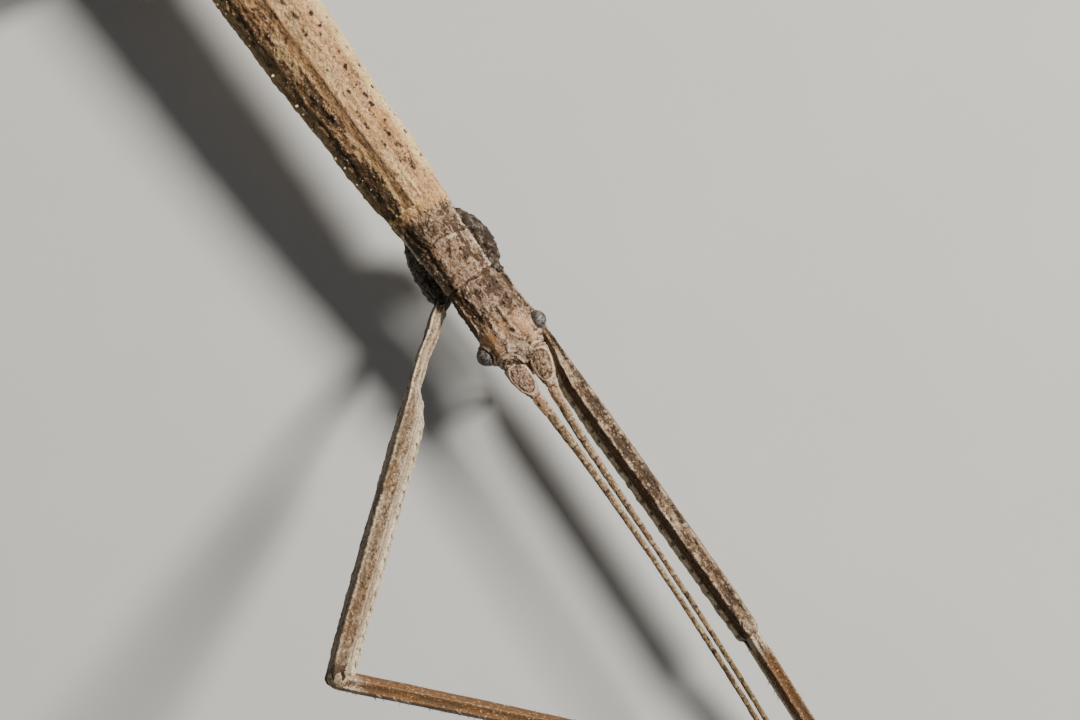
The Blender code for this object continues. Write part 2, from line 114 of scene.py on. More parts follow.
# ---- material helpers ----------------------------------------------------------------------------
class Nodes:
    """A few words for building a material out of shader nodes."""

    def __init__(self, name):
        self.material = bpy.data.materials.new(name)
        self.material.use_nodes = True
        self.tree = self.material.node_tree
        self.shader = self.tree.nodes["Principled BSDF"]

    def plug(self, node, inputs):
        """Fills inputs of a node with numbers, colours or what other nodes give."""
        for key, value in inputs.items():
            socket = node.inputs[key]
            if isinstance(value, bpy.types.NodeSocket):
                self.tree.links.new(value, socket)
            else:
                socket.default_value = (*value, 1.0) if socket.type == "RGBA" else value

    def node(self, kind, inputs, output=0, **settings):
        made = self.tree.nodes.new("ShaderNode" + kind)
        for key, value in settings.items():
            setattr(made, key, value)
        self.plug(made, inputs)
        return made.outputs[output]

    def position(self):
        return self.node("TexCoord", {}, "Object")

    def mark(self, name, output="Fac"):
        """One of the marks that the meshes carry at their points."""
        return self.node("Attribute", {}, output, attribute_name=name)

    def lie(self, along, around, seed=0.0):
        """Places on the skin in mm, first along the limb or body and then across it, times the two scales."""
        inputs = {"Vector": self.mark("lie", "Vector"), "Scale": (along, around, around),
                  "Location": (seed, seed * 0.7, seed)}
        return self.node("Mapping", inputs, "Vector")

    def along(self):
        """How far along the limb or body a place of the skin lies, in mm."""
        return self.node("SeparateXYZ", {0: self.mark("lie", "Vector")})

    def noise(self, vector, scale=1.0, detail=2.0, roughness=0.5):
        inputs = {"Vector": vector, "Scale": scale, "Detail": detail, "Roughness": roughness}
        return self.node("TexNoise", inputs, "Fac")

    def cells(self, vector, scale=1.0):
        return self.node("TexVoronoi", {"Vector": vector, "Scale": scale}, "Distance")

    def span(self, value, low, high, to_low=0.0, to_high=1.0):
        """The value, moved smoothly from one range to another and held inside it."""
        inputs = {"Value": value, "From Min": low, "From Max": high, "To Min": to_low, "To Max": to_high}
        return self.node("MapRange", inputs, "Result", interpolation_type="SMOOTHSTEP")

    def sum(self, first, second, operation="ADD"):
        return self.node("Math", {0: first, 1: second}, operation=operation)

    def product(self, first, second):
        return self.sum(first, second, "MULTIPLY")

    def mix(self, share, first, second):
        return self.node("Mix", {0: share, 6: first, 7: second}, 2, data_type="RGBA")

    def finish(self, colour, roughness, height=None, depth=0.00002, strength=1.0, **gloss):
        self.plug(self.shader, {"Base Color": colour, "Roughness": roughness})
        self.plug(self.shader, {key.replace("_", " "): value for key, value in gloss.items()})
        if height is not None:
            bump = self.node("Bump", {"Strength": strength, "Distance": depth, "Height": height}, "Normal")
            self.plug(self.shader, {"Normal": bump})
        return self.material


# ---- colours of the skin -------------------------------------------------------------------------
# DEEP_BROWN is what the shade mark mixes in: the colour of painted shade as well as of darker tone
DEEP_BROWN = (0.085, 0.046, 0.018)
UMBER = (0.035, 0.019, 0.010)
BLACK = (0.020, 0.010, 0.005)
# scales along and across the skin with a seed, then detail and roughness, of its streaks, grain, fine grain,
# patches and flecks
SKIN_NOISES = (((0.6, 3.0, 3.0), 5, 0.7), ((2.6, 3.4, 11.0), 3, 0.7), ((5.5, 6.5, 17.0), 2, 0.6),
               ((2.3, 3.1, 23.0), 5, 0.8), ((3.2, 4.2, 31.0), 3, 0.7))


def skin_material(name, ground, light, brown, pale, warm, mottle=1.0, fore=None):
    """Dry insect skin: lengthwise streaks, mottling, specks and flecks over the ground colour, and marks.

    The head and first plate may have a ground, light and pale of their own, in fore.
    """
    make = Nodes(name)
    span, mark = make.span, make.mark
    if fore:
        ahead = span(make.along(), -7.2, -6.0)
        ground, light, pale = (make.mix(ahead, *pair) for pair in zip((ground, light, pale), fore))
    noises = (make.noise(make.lie(*scales), 1.0, *rest) for scales, *rest in SKIN_NOISES)
    streaks, grain, fine, patches, flecks = noises
    limit = make.sum(0.84, make.product(mark("dark"), 0.55), "SUBTRACT")
    core, full, stained = (make.sum(limit, more) for more in (0.06, 0.12, 0.08))
    specks = make.sum(make.cells(make.lie(1.9, 2.1, 41.0)), span(grain, 0.4, 0.6, 0.12, -0.04))
    specks = make.product(span(specks, 0.20, 0.13), span(mark("dark"), 0.2, 0.6, 0.25, 0.9))
    colour = make.mix(span(make.noise(make.lie(0.3, 0.7), 1.0, 4, 0.65), 0.44, 0.57), ground, light)
    for share, tone in (
            (span(streaks, 0.51, 0.64, 0.0, 0.45), brown),
            (span(streaks, 0.46, 0.34, 0.0, 0.45), light),
            (mark("warm"), warm),
            (span(grain, 0.52, 0.62, 0.0, 0.62 * mottle), brown),
            (span(grain, 0.46, 0.37, 0.0, 0.5 * mottle), pale),
            (make.product(mark("warm"), 0.4), warm),
            (mark("pale"), pale),
            (span(fine, 0.54, 0.61, 0.0, 0.6 * mottle), brown),
            (span(fine, 0.45, 0.38, 0.0, 0.4 * mottle), pale),
            (span(patches, limit, stained, 0.0, 0.8), brown),
            (span(flecks, 0.58, 0.66, 0.0, 0.7 * mottle), pale),
            (make.product(mark("warm"), span(flecks, 0.66, 0.50, 0.35, 0.8)), warm),
            (span(patches, core, full, 0.0, 0.92), UMBER),
            (span(flecks, 0.60, 0.66, 0.0, 0.45), pale),
            (span(fine, 0.44, 0.36, 0.0, 0.35), brown),
            # the shade mark: painted shade on sides turned from the light and in hollows, besides darker tone
            (make.product(mark("shade"), span(grain, 0.68, 0.38, 0.45, 1.0)), DEEP_BROWN),
            (specks, BLACK),
            (mark("black"), BLACK)):
        colour = make.mix(share, colour, tone)
    height = make.sum(make.product(grain, 0.9), make.product(streaks, 0.5))
    height = make.sum(height, make.product(fine, 0.5))
    height = make.sum(height, make.product(flecks, 0.6))
    return make.finish(colour, span(grain, 0.3, 0.7, 0.50, 0.70), height, 0.00015, Specular_IOR_Level=0.28)


def eye_material():
    make = Nodes("eye_facets")
    facets = make.cells(make.position(), 14000.0)
    blot = make.noise(make.position(), 4600.0, 5, 0.8)
    pole = make.sum(make.mark("pole"), make.span(blot, 0.35, 0.65, -0.20, 0.20))
    colour = make.mix(make.span(blot, 0.44, 0.55), (0.185, 0.168, 0.156), (0.034, 0.025, 0.019))
    for source, low, high, most, tone in ((pole, 0.80, 0.92, 0.85, (0.022, 0.016, 0.014)),
                                          (pole, 0.60, 0.42, 0.9, (0.060, 0.034, 0.020)),
                                          (blot, 0.42, 0.36, 0.8, (0.36, 0.33, 0.30))):
        colour = make.mix(make.span(source, low, high, 0.0, most), colour, tone)
    height = make.sum(make.product(facets, 0.4), blot)
    roughness = make.span(facets, 0.0, 0.6, 0.4, 0.55)
    return make.finish(colour, roughness, height, 0.00003, 0.8, Coat_Weight=0.08, Coat_Roughness=0.3)


def claw_material():
    make = Nodes("claw_horn")
    streaks = make.noise(make.position(), 3000.0, 3)
    colour = make.mix(make.mark("tip"), (0.16, 0.075, 0.03), (0.016, 0.008, 0.005))
    colour = make.mix(make.span(streaks, 0.45, 0.7, 0.0, 0.5), colour, (0.05, 0.022, 0.01))
    return make.finish(colour, make.span(streaks, 0.3, 0.7, 0.22, 0.38))


def grain_material():
    """Grains of the skin: a dark foot, and a tip as pale as the grain's own mark says."""
    make = Nodes("skin_grains")
    shade = make.noise(make.position(), 4200.0, 3)
    share = make.span(shade, 0.4, 0.65)
    foot = make.mix(share, (0.014, 0.008, 0.005), (0.085, 0.044, 0.022))
    light = make.mix(share, (0.85, 0.74, 0.52), (0.62, 0.46, 0.28))
    tip = make.product(make.mark("pale"), make.span(make.mark("tip"), 0.1, 0.5))
    return make.finish(make.mix(tip, foot, light), 0.45, shade, 0.00001, 0.5)


def bristle_material():
    make = Nodes("bristles")
    return make.finish(make.mix(make.mark("tip"), (0.30, 0.20, 0.12), (0.62, 0.52, 0.38)), 0.5)


# ---- numbers over a surface ----------------------------------------------------------------------
def curve(pairs, x):
    """Smooth values at x through (place, value) pairs, as in the solids."""
    places, values = np.array(pairs, float).T
    x = np.clip(x, places[0], places[-1])
    k = np.clip(np.searchsorted(places, x, side="right") - 1, 0, len(places) - 2)
    t = (x - places[k]) / (places[k + 1] - places[k])
    return values[k] + (values[k + 1] - values[k]) * t * t * (3 - 2 * t)


def columns(rows, x):
    """Smooth values at x of each further column of a table whose first one holds the places."""
    return [curve([(row[0], row[k]) for row in rows], x) for k in range(1, len(rows[0]))]


def rise(x, low, high):
    t = np.clip((x - low) / (high - low), 0, 1)
    return t * t * (3 - 2 * t)


def fall(x, low, high):
    return 1 - rise(x, low, high)


def band(x, *edges):
    """1 between the middle two of four places, and 0 outside the outer two."""
    return rise(x, *edges[:2]) * fall(x, *edges[2:])


def hill(x, width):
    return np.exp(-((x / width) ** 2))


def dot(x, width, y, length):
    return hill(x, width) * hill(y, length)


def lumps(seed, u, v=0.0, w=0.0):
    """Smooth random values between -1 and 1 in space, about one lump per unit."""
    cells = [np.floor(axis) for axis in (u, v, w)]
    parts = [rise(axis - cell, 0, 1) for axis, cell in zip((u, v, w), cells)]
    total = 0.0
    for corner in np.ndindex(2, 2, 2):
        steps = zip(cells, corner, (127.1, 311.7, 74.7))
        key = sum((cell + step) * factor for cell, step, factor in steps) + seed * 53.3
        value = np.sin(key) * 43758.5453
        share = [t if step else 1 - t for t, step in zip(parts, corner)]
        total = total + (2 * (value - np.floor(value)) - 1) * share[0] * share[1] * share[2]
    return total


def fractal(lie, along, around, seed, octaves=3):
    """Lumps of about the given lengths along and around, with finer ones on them."""
    total, size = 0.0, 0.0
    for k in range(octaves):
        scale = 2.0 ** k
        places = (lie[..., axis] * scale / wide for axis, wide in enumerate((along, around, around)))
        total = total + lumps(seed + k, *places) / scale
        size += 1 / scale
    return total / size * 1.6


def line_distance(f, l, *points):
    """Distance from places on a plane to a line through points."""
    best = np.full(np.shape(f), 1e9)
    for (f0, l0), (f1, l1) in zip(points, points[1:]):
        df, dl = f1 - f0, l1 - l0
        t = np.clip(((f - f0) * df + (l - l0) * dl) / (df * df + dl * dl), 0, 1)
        best = np.minimum(best, np.hypot(f - f0 - t * df, l - l0 - t * dl))
    return best


def signed_power(x, power):
    return np.sign(x) * np.abs(x) ** power


def unit(vector):
    vector = np.asarray(vector, float)
    return vector / np.linalg.norm(vector, axis=-1, keepdims=True)


def grid(first, second):
    return np.meshgrid(first, second, indexing="ij")


def turns(count):
    return FULL_TURN * np.arange(count) / count


# ---- meshes --------------------------------------------------------------------------------------
class Pile:
    """Collects closed shapes with their marks, and makes one mesh object of them."""

    def __init__(self):
        self.points, self.faces, self.marks, self.count = [], [], {}, 0

    def add(self, points, faces, **marks):
        for name in set(self.marks) | set(marks):
            value = marks.get(name, 0.0)
            width = np.shape(value)[1:] if name in marks else self.marks[name][0].shape[1:]
            if name not in self.marks:
                self.marks[name] = [np.zeros((self.count, *width))]
            self.marks[name].append(np.broadcast_to(value, (len(points), *width)))
        self.points.append(points)
        self.faces += [tuple(corner + self.count for corner in face) for face in faces]
        self.count += len(points)

    def object(self, name, material, slot, replaces=()):
        mesh = bpy.data.meshes.new(name)
        mesh.from_pydata((np.concatenate(self.points) * MM).tolist(), [], self.faces)
        for mark, parts in self.marks.items():
            values = np.concatenate(parts)
            if mark == "OFBake":
                corners = np.zeros(len(mesh.loops), int)
                mesh.loops.foreach_get("vertex_index", corners)
                mesh.uv_layers.new(name=mark).data.foreach_set("uv", values[corners].ravel())
            else:
                kind, field = ("FLOAT_VECTOR", "vector") if values.ndim == 2 else ("FLOAT", "value")
                mesh.attributes.new(mark, kind, "POINT").data.foreach_set(field, values.ravel())
        mesh.materials.append(material)
        mesh.shade_smooth()
        made = put(name, mesh)
        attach(made, "root")
        if replaces:
            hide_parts(*replaces)

    def dress(self, part, place, material, slot):
        """Makes the skin of the node part_place."""
        self.object(f"{part}_skin_{place}", material, slot, (f"{part}_{place}",))


def outward(points):
    """Outward normals of a grid of rings, and whether its rings run the right way round for outward faces."""
    along = np.gradient(points, axis=0)
    around = (np.roll(points, -1, 1) - np.roll(points, 1, 1)) / 2
    normal = np.cross(around, along)
    normal /= np.linalg.norm(normal, axis=-1, keepdims=True) + 1e-12
    right_way = ((points - points.mean(1, keepdims=True)) * normal).sum() > 0
    return (normal if right_way else -normal), right_way


def grid_tube(pile, points, **marks):
    """Adds a closed tube from an array of rings, with a fan of faces over each end."""
    rings, sides = points.shape[:2]
    k, j = grid(np.arange(rings - 1), np.arange(sides))
    after = (j + 1) % sides
    quads = np.stack([k * sides + j, k * sides + after, (k + 1) * sides + after, (k + 1) * sides + j], -1)
    faces = quads.reshape(-1, 4).tolist()
    near, last = rings * sides, (rings - 1) * sides
    faces += [(near, (m + 1) % sides, m) for m in range(sides)]
    faces += [(near + 1, last + m, last + (m + 1) % sides) for m in range(sides)]
    if not outward(points)[1]:
        faces = [face[::-1] for face in faces]

    def with_ends(value):
        value = np.broadcast_to(value, (rings, sides) + np.shape(value)[2:])
        return np.concatenate([value.reshape((-1,) + value.shape[2:]), [value[0].mean(0), value[-1].mean(0)]])

    pile.add(with_ends(points), faces, **{name: with_ends(value) for name, value in marks.items()})


def hollows(shift):
    """How far each place of a relief lies below those around it, between -1 and 1."""
    soft = np.pad(shift, ((3, 3), (0, 0)), mode="edge")
    for step in (1, 2, 3):
        for axis in (1, 0):
            soft = (np.roll(soft, step, axis) + np.roll(soft, -step, axis) + 2 * soft) / 4
    return np.clip((soft[3:-3] - shift) / 0.035, -1, 1)


def raised(pile, points, lie, shift, pale=0.0, dark=0.0, black=0.0, warm=0.0, shade=0.0):
    """Adds a tube with its skin moved outward by shift, the masks of its marks, painted shade in its hollows
    and painted highlights on its crests.
    """
    points = points + outward(points)[0] * shift[..., None]
    low = hollows(shift)
    sunk, proud = np.maximum(low, 0), np.maximum(-low, 0)
    # painted shade: sunk places get more dark and shade; painted highlight: proud places get more pale
    masks = {"pale": pale + 0.22 * proud, "dark": dark + 0.10 * sunk, "black": black, "warm": warm,
             "shade": shade + 0.34 * sunk}
    masks = {name: np.clip(value, 0, 1.2 if name == "dark" else 1) + 0 * low for name, value in masks.items()}
    grid_tube(pile, points, lie=lie, **masks)


# ---- trunk and head, with the sizes of the solids ------------------------------------------------
PROTHORAX_LENGTH, MESOTHORAX_LENGTH, METATHORAX_LENGTH = 7.9, 36.0, 20.0
ABDOMEN_LENGTHS = (6.5, 12.0, 12.5, 12.5, 12.0, 11.0, 9.0, 7.0, 5.5, 5.0)
# (distance behind the joint, size) along the body
BODY_HALF_WIDTH = ((0, 2.3), (3.5, 2.45), (7.9, 2.78), (10, 3.02), (14, 3.2), (26, 3.6), (44, 3.87),
                   (66, 3.75), (95, 3.55), (125, 3.25), (138, 2.8), (148, 2.25), (157.4, 1.8))
BODY_TOP = ((0, 1.9), (8, 2.2), (20, 2.6), (44, 3.0), (66, 2.9), (100, 2.7), (138, 2.2), (157.4, 1.3))
BODY_BOTTOM = ((0, 1.8), (8, 2.2), (20, 2.5), (44, 2.8), (66, 2.7), (100, 2.5), (138, 1.9), (157.4, 1.0))
BODY_AXIS_HEIGHT = ((-10, 7.9), (0, 8.0), (44, 8.3), (64, 8.3), (110, 7.6), (157.4, 6.4))
BOXINESS = 0.86
HEAD_TIP = 8.36
# distance ahead of the joint, half width, and how far the outline goes above and below the axis
HEAD_SECTIONS = ((0.0, 2.27, 1.87, 1.77), (0.5, 2.34, 1.97, 1.85), (2.0, 2.42, 2.1, 2.0),
                 (4.0, 2.48, 2.12, 2.05), (5.7, 2.55, 2.05, 2.0), (6.9, 2.5, 1.9, 1.85), (7.6, 2.3, 1.6, 1.6),
                 (8.0, 1.95, 1.2, 1.3), (8.25, 1.4, 0.85, 1.0), (HEAD_TIP, 0.8, 0.45, 0.6))
SKIN_DEPTH = 0.05  # the plain skin lies this far inside the solid, and its relief comes out again
EYE_PLACE = (6.0, 2.62, 0.45)  # ahead of the joint, out, and above the axis
EYE_RADIUS = 0.85


def axis_height(f):
    return curve(BODY_AXIS_HEIGHT, -f)


def section(forward, theta, half, top, bottom, lift=0.0):
    """(L, height) of the body's outline."""
    c, s = signed_power(np.cos(theta), BOXINESS), signed_power(np.sin(theta), BOXINESS)
    tall = np.where(s > 0, top, bottom) - SKIN_DEPTH
    return (half - SKIN_DEPTH) * c, axis_height(forward) + lift + tall * s


def trunk_section(f, theta):
    return section(f, theta, *(curve(pairs, -f) for pairs in (BODY_HALF_WIDTH, BODY_TOP, BODY_BOTTOM)))


def head_section(f, theta):
    return section(f, theta, *columns(HEAD_SECTIONS, f), 0.3 * rise(f, 7.4, HEAD_TIP))


def either(ahead, behind):
    """What the head has in front of its joint, and what the first plate has behind it."""
    return lambda f, *rest: [np.where(f > 0, *pair) for pair in zip(ahead(f, *rest), behind(f, *rest))]


def plate_joints():
    """(F of the joint, depth and half width of its groove) between the plates behind the prothorax."""
    behind = PROTHORAX_LENGTH + MESOTHORAX_LENGTH
    yield -behind, 0.16, 0.20
    behind += METATHORAX_LENGTH
    yield -behind, 0.08, 0.15
    for length in ABDOMEN_LENGTHS[:-1]:
        behind += length
        yield -behind, 0.16, 0.20


def pronotum_relief(f, l, theta, lie):
    """The thorax's first plate: a cross groove, a short middle line, dark side patches and pale margins."""
    behind, side, right, tilt, wild = -f, np.abs(l), l < 0, np.sin(theta), partial(fractal, lie)
    upper = rise(tilt, -0.15, 0.25)
    front, rear = fall(behind, 4.0, 5.2) * upper, rise(behind, 6.8, 7.4)
    margin = hill(side - curve(((0, 2.15), (3.5, 2.28), (7.9, 2.5)), behind), 0.12) * rise(tilt, 0.05, 0.3)
    cross = hill(behind - 4.1 - 0.3 * hill(side, 0.9) + 0.25 * rise(side, 1.2, 2.4), 0.11) * upper
    hollow = hill(side - 1.55 - 0.35 * rise(behind, 4.2, 6.5), 0.16) * upper * fall(behind, 6.2, 7.0)
    hind_line = hill(behind - 7.9 + 0.12 * side, 0.07) * upper
    patch = hill(side - 1.65, 0.6) * band(behind, 3.9, 4.6, 6.4, 7.2) * upper
    spot = dot(behind - 4.0, 0.22, l - 1.05, 0.34) * upper
    ridge = hill(l + 2.36 + 0.12 * hill(behind - 5.4, 0.9), 0.10) * band(behind, 3.3, 4.0, 6.3, 6.8)
    ridge *= rise(tilt, -0.3, 0.1)
    busy = upper * fall(behind + 0.35 * wild(0.6, 0.5, 77), 6.3, 7.4)
    shift = 0.07 * wild(1.2, 0.8, 61) + 0.05 * wild(0.34, 0.28, 63)
    shift += 0.08 * rise(wild(0.34, 0.30, 67, 2), 0.3, 0.8)
    shift += 0.10 * margin - 0.12 * cross - 0.10 * hollow - 0.05 * hind_line + 0.07 * spot + 0.10 * ridge
    shift -= 0.07 * hill(l + 0.05, 0.09) * rise(behind, 6.2, 6.6) * upper
    shift -= 0.16 * hill(behind, 0.10) + 0.25 * rise(behind, 7.95, 8.3)
    pale = 0.6 * margin + 1.1 * spot + 1.2 * ridge + 0.7 * hind_line + 0.35 * hill(behind - 0.2, 0.07) * upper
    pale += 0.5 * dot(behind - 0.5, 0.4, l - 2.1, 0.3) * upper + 0.3 * dot(behind - 7.0, 0.5, l - 1.1, 0.5)
    # painted shade: the terms with right or -l here and below paint the right side, turned from the light,
    # darker, on top of the plate's own patches
    dark = 0.44 + 0.22 * wild(1.0, 0.7, 65) + (0.10 + 0.30 * right) * patch + 0.17 * busy - 0.25 * rear
    dark += 0.16 * hill(side - 1.5, 0.5) * front + 0.12 * (1 - upper) - 0.6 * spot - 0.7 * ridge
    black = 0.9 * dot(behind - 7.2, 0.85, l + 0.05, 0.09) * upper + 0.9 * dot(behind, 0.07, l - 0.3, 0.75)
    black += 0.5 * patch * right * rise(wild(0.9, 0.5, 73), -0.3, 0.3)
    warm = (0.15 + 0.3 * (l > 0)) * rise(behind, 6.7, 7.2) + 0.2 * hill(side - 0.7, 0.5) * front
    shade = 0.23 + 0.20 * wild(0.7, 0.5, 69) + 0.34 * rise(-l, 0.6, 1.4) + 0.3 * rise(-l, 1.3, 2.3)
    shade = (shade + 0.10 * busy) * (1 - 0.5 * margin) + (0.12 + 0.18 * right) * patch
    shade += 0.4 * cross - 0.1 * rear
    shade -= 0.5 * spot + 0.8 * ridge + 0.12 * rise(behind, 6.9, 7.4)
    return shift, pale, dark, black, warm, shade


def scatter_grains():
    """(F, L, size, how pale) of the back's grains: dark ones on the left, pale-tipped ones on the right."""
    draw = np.random.default_rng(31)
    found = []
    for side, reach, spacing, pale in ((1, 0.62, 1.5, 0.0), (1, 0.26, 3.0, 0.15), (-1, 0.68, 1.7, 0.7),
                                       (-1, 0.40, 2.6, 0.5)):
        f = -8.8
        while f > -152:
            f -= spacing * draw.uniform(0.4, 1.6) * (1 if f > -44 else 2.0)
            size = draw.uniform(0.07, 0.19)
            l = side * (reach + draw.uniform(-0.11, 0.11)) * curve(BODY_HALF_WIDTH, -f)
            found.append((f, l, size, pale * draw.uniform(0.6, 1.2)))
            if draw.random() < 0.35:
                found.append((f - 0.38, l + draw.uniform(-0.1, 0.1), size * 0.7, pale))
    return found


GRAINS = scatter_grains()


def trunk_relief(f, l, theta, lie):
    """The long plates: a fine middle line, pale edges, dark smudges beside the middle and plate joints."""
    behind, side, height, wild = -f, np.abs(l), np.sin(theta), partial(fractal, lie)
    reach = side / curve(BODY_HALF_WIDTH, behind)
    left, right, upper = l > 0, l < 0, rise(height, -0.15, 0.25)
    thorax = 1 - 0.6 * rise(behind, 44, 66)
    fade = rise(behind, 8.0, 11.0)
    line = l + 0.14 - 0.07 * lumps(3, f / 6.0)
    edge = rise(reach, 0.72, 0.92) * rise(height, -0.18, 0.06) * fade
    shift = 0.06 * wild(2.0, 1.1, 5) + 0.06 * wild(0.5, 0.4, 9)
    shift += 0.08 * rise(wild(0.55, 0.45, 11, 2), 0.3, 0.8)
    shift += (0.045 * wild(2.0, 0.3, 14, 2) - 0.06 * hill(reach - 0.74, 0.05) * fade) * upper
    shift += 0.05 * (hill(line - 0.12, 0.12) - hill(line, 0.05)) * upper * thorax
    shift += 0.09 * dot(reach - 0.97, 0.05, height - 0.1, 0.3) * fade
    blotch = wild(2.6, 0.7, 57) * (l < -0.4) * upper
    # painted light and shade: the right side, turned from the light, gets a weaker pale edge and more dark
    # and shade; the left side beside the middle is painted paler
    pale = edge * (0.75 - 0.40 * right + 0.4 * wild(1.6, 0.8, 31))
    pale += 0.5 * rise(blotch, 0.15, 0.5) * hill(l + 1.3, 0.6)
    pale += 0.35 * hill(l + 1.0, 0.35) * upper * rise(f, -20, -9) + 0.3 * hill(l - 0.65, 0.45) * upper * fade
    dark = 0.40 + 0.16 * wild(5.0, 1.5, 41) - 0.25 * edge + 0.16 * (1 - upper) - 0.3 * np.minimum(blotch, 0.5)
    dark += 0.36 * hill(reach - 0.52, 0.24) * upper * (0.4 + wild(2.4, 0.9, 43))
    dark += (0.20 * rise(-l, 0.2, 2.2) - 0.36 * hill(side - 0.7, 0.6) * left) * upper
    warm = (0.6 * hill(line + 0.4, 0.40) + 0.3 * hill(reach - 0.60, 0.15) * left) * upper
    warm += 0.35 * rise(wild(5.0, 2.0, 47), 0.1, 0.6) * (1 - edge)
    black = 0.95 * hill(line, 0.085) * upper * thorax * (0.75 + 0.3 * lumps(51, f / 1.5))
    shade = 0.06 + 0.12 * wild(2.0, 1.0, 55) + 0.9 * hill(line + 0.20, 0.30) * upper + 0.16 * right * upper
    shade += 0.54 * rise(-l, 0.4, 3.2) * (0.8 + 0.5 * wild(1.3, 0.6, 59)) * rise(height, -0.3, 0.1)
    shade += 0.3 * rise(-height, -0.1, 0.3) * (1 - edge * left)
    first = hill(behind - PROTHORAX_LENGTH, 0.08)
    shift -= 0.06 * first
    pale += 0.6 * first * upper
    for joint, depth, width in plate_joints():
        shift -= depth * hill(f - joint, width)
        dark += 0.25 * hill(f - joint, 0.35)
        pale += 0.35 * hill(f - joint - 0.45, 0.16)
    for grain_f, grain_l, size, grain_pale in GRAINS:
        near = np.abs(f[:, 0] - grain_f) < 3 * size
        if near.any():
            df, dl = f[near] - grain_f, l[near] - grain_l
            # painted light on each grain: its black patch is set off away from the light as a painted shadow,
            # and the pale spot on its lit side is a painted highlight
            away = np.hypot(df * 0.75, dl + 0.4 * size) + 3 * (height[near] < -0.1)
            ragged = away + 0.8 * size * lumps(53, f[near] / 0.22, l[near] / 0.16)
            shift[near] += 0.75 * size * hill(ragged, size * 1.2)
            black[near] += (1 - 0.6 * grain_pale) * rise(ragged, size * 1.7, size * 0.9)
            pale[near] += 0.9 * dot(df - 0.4 * size, size, dl - 1.3 * size, 0.8 * size)
    return shift, pale, dark, black, warm, shade


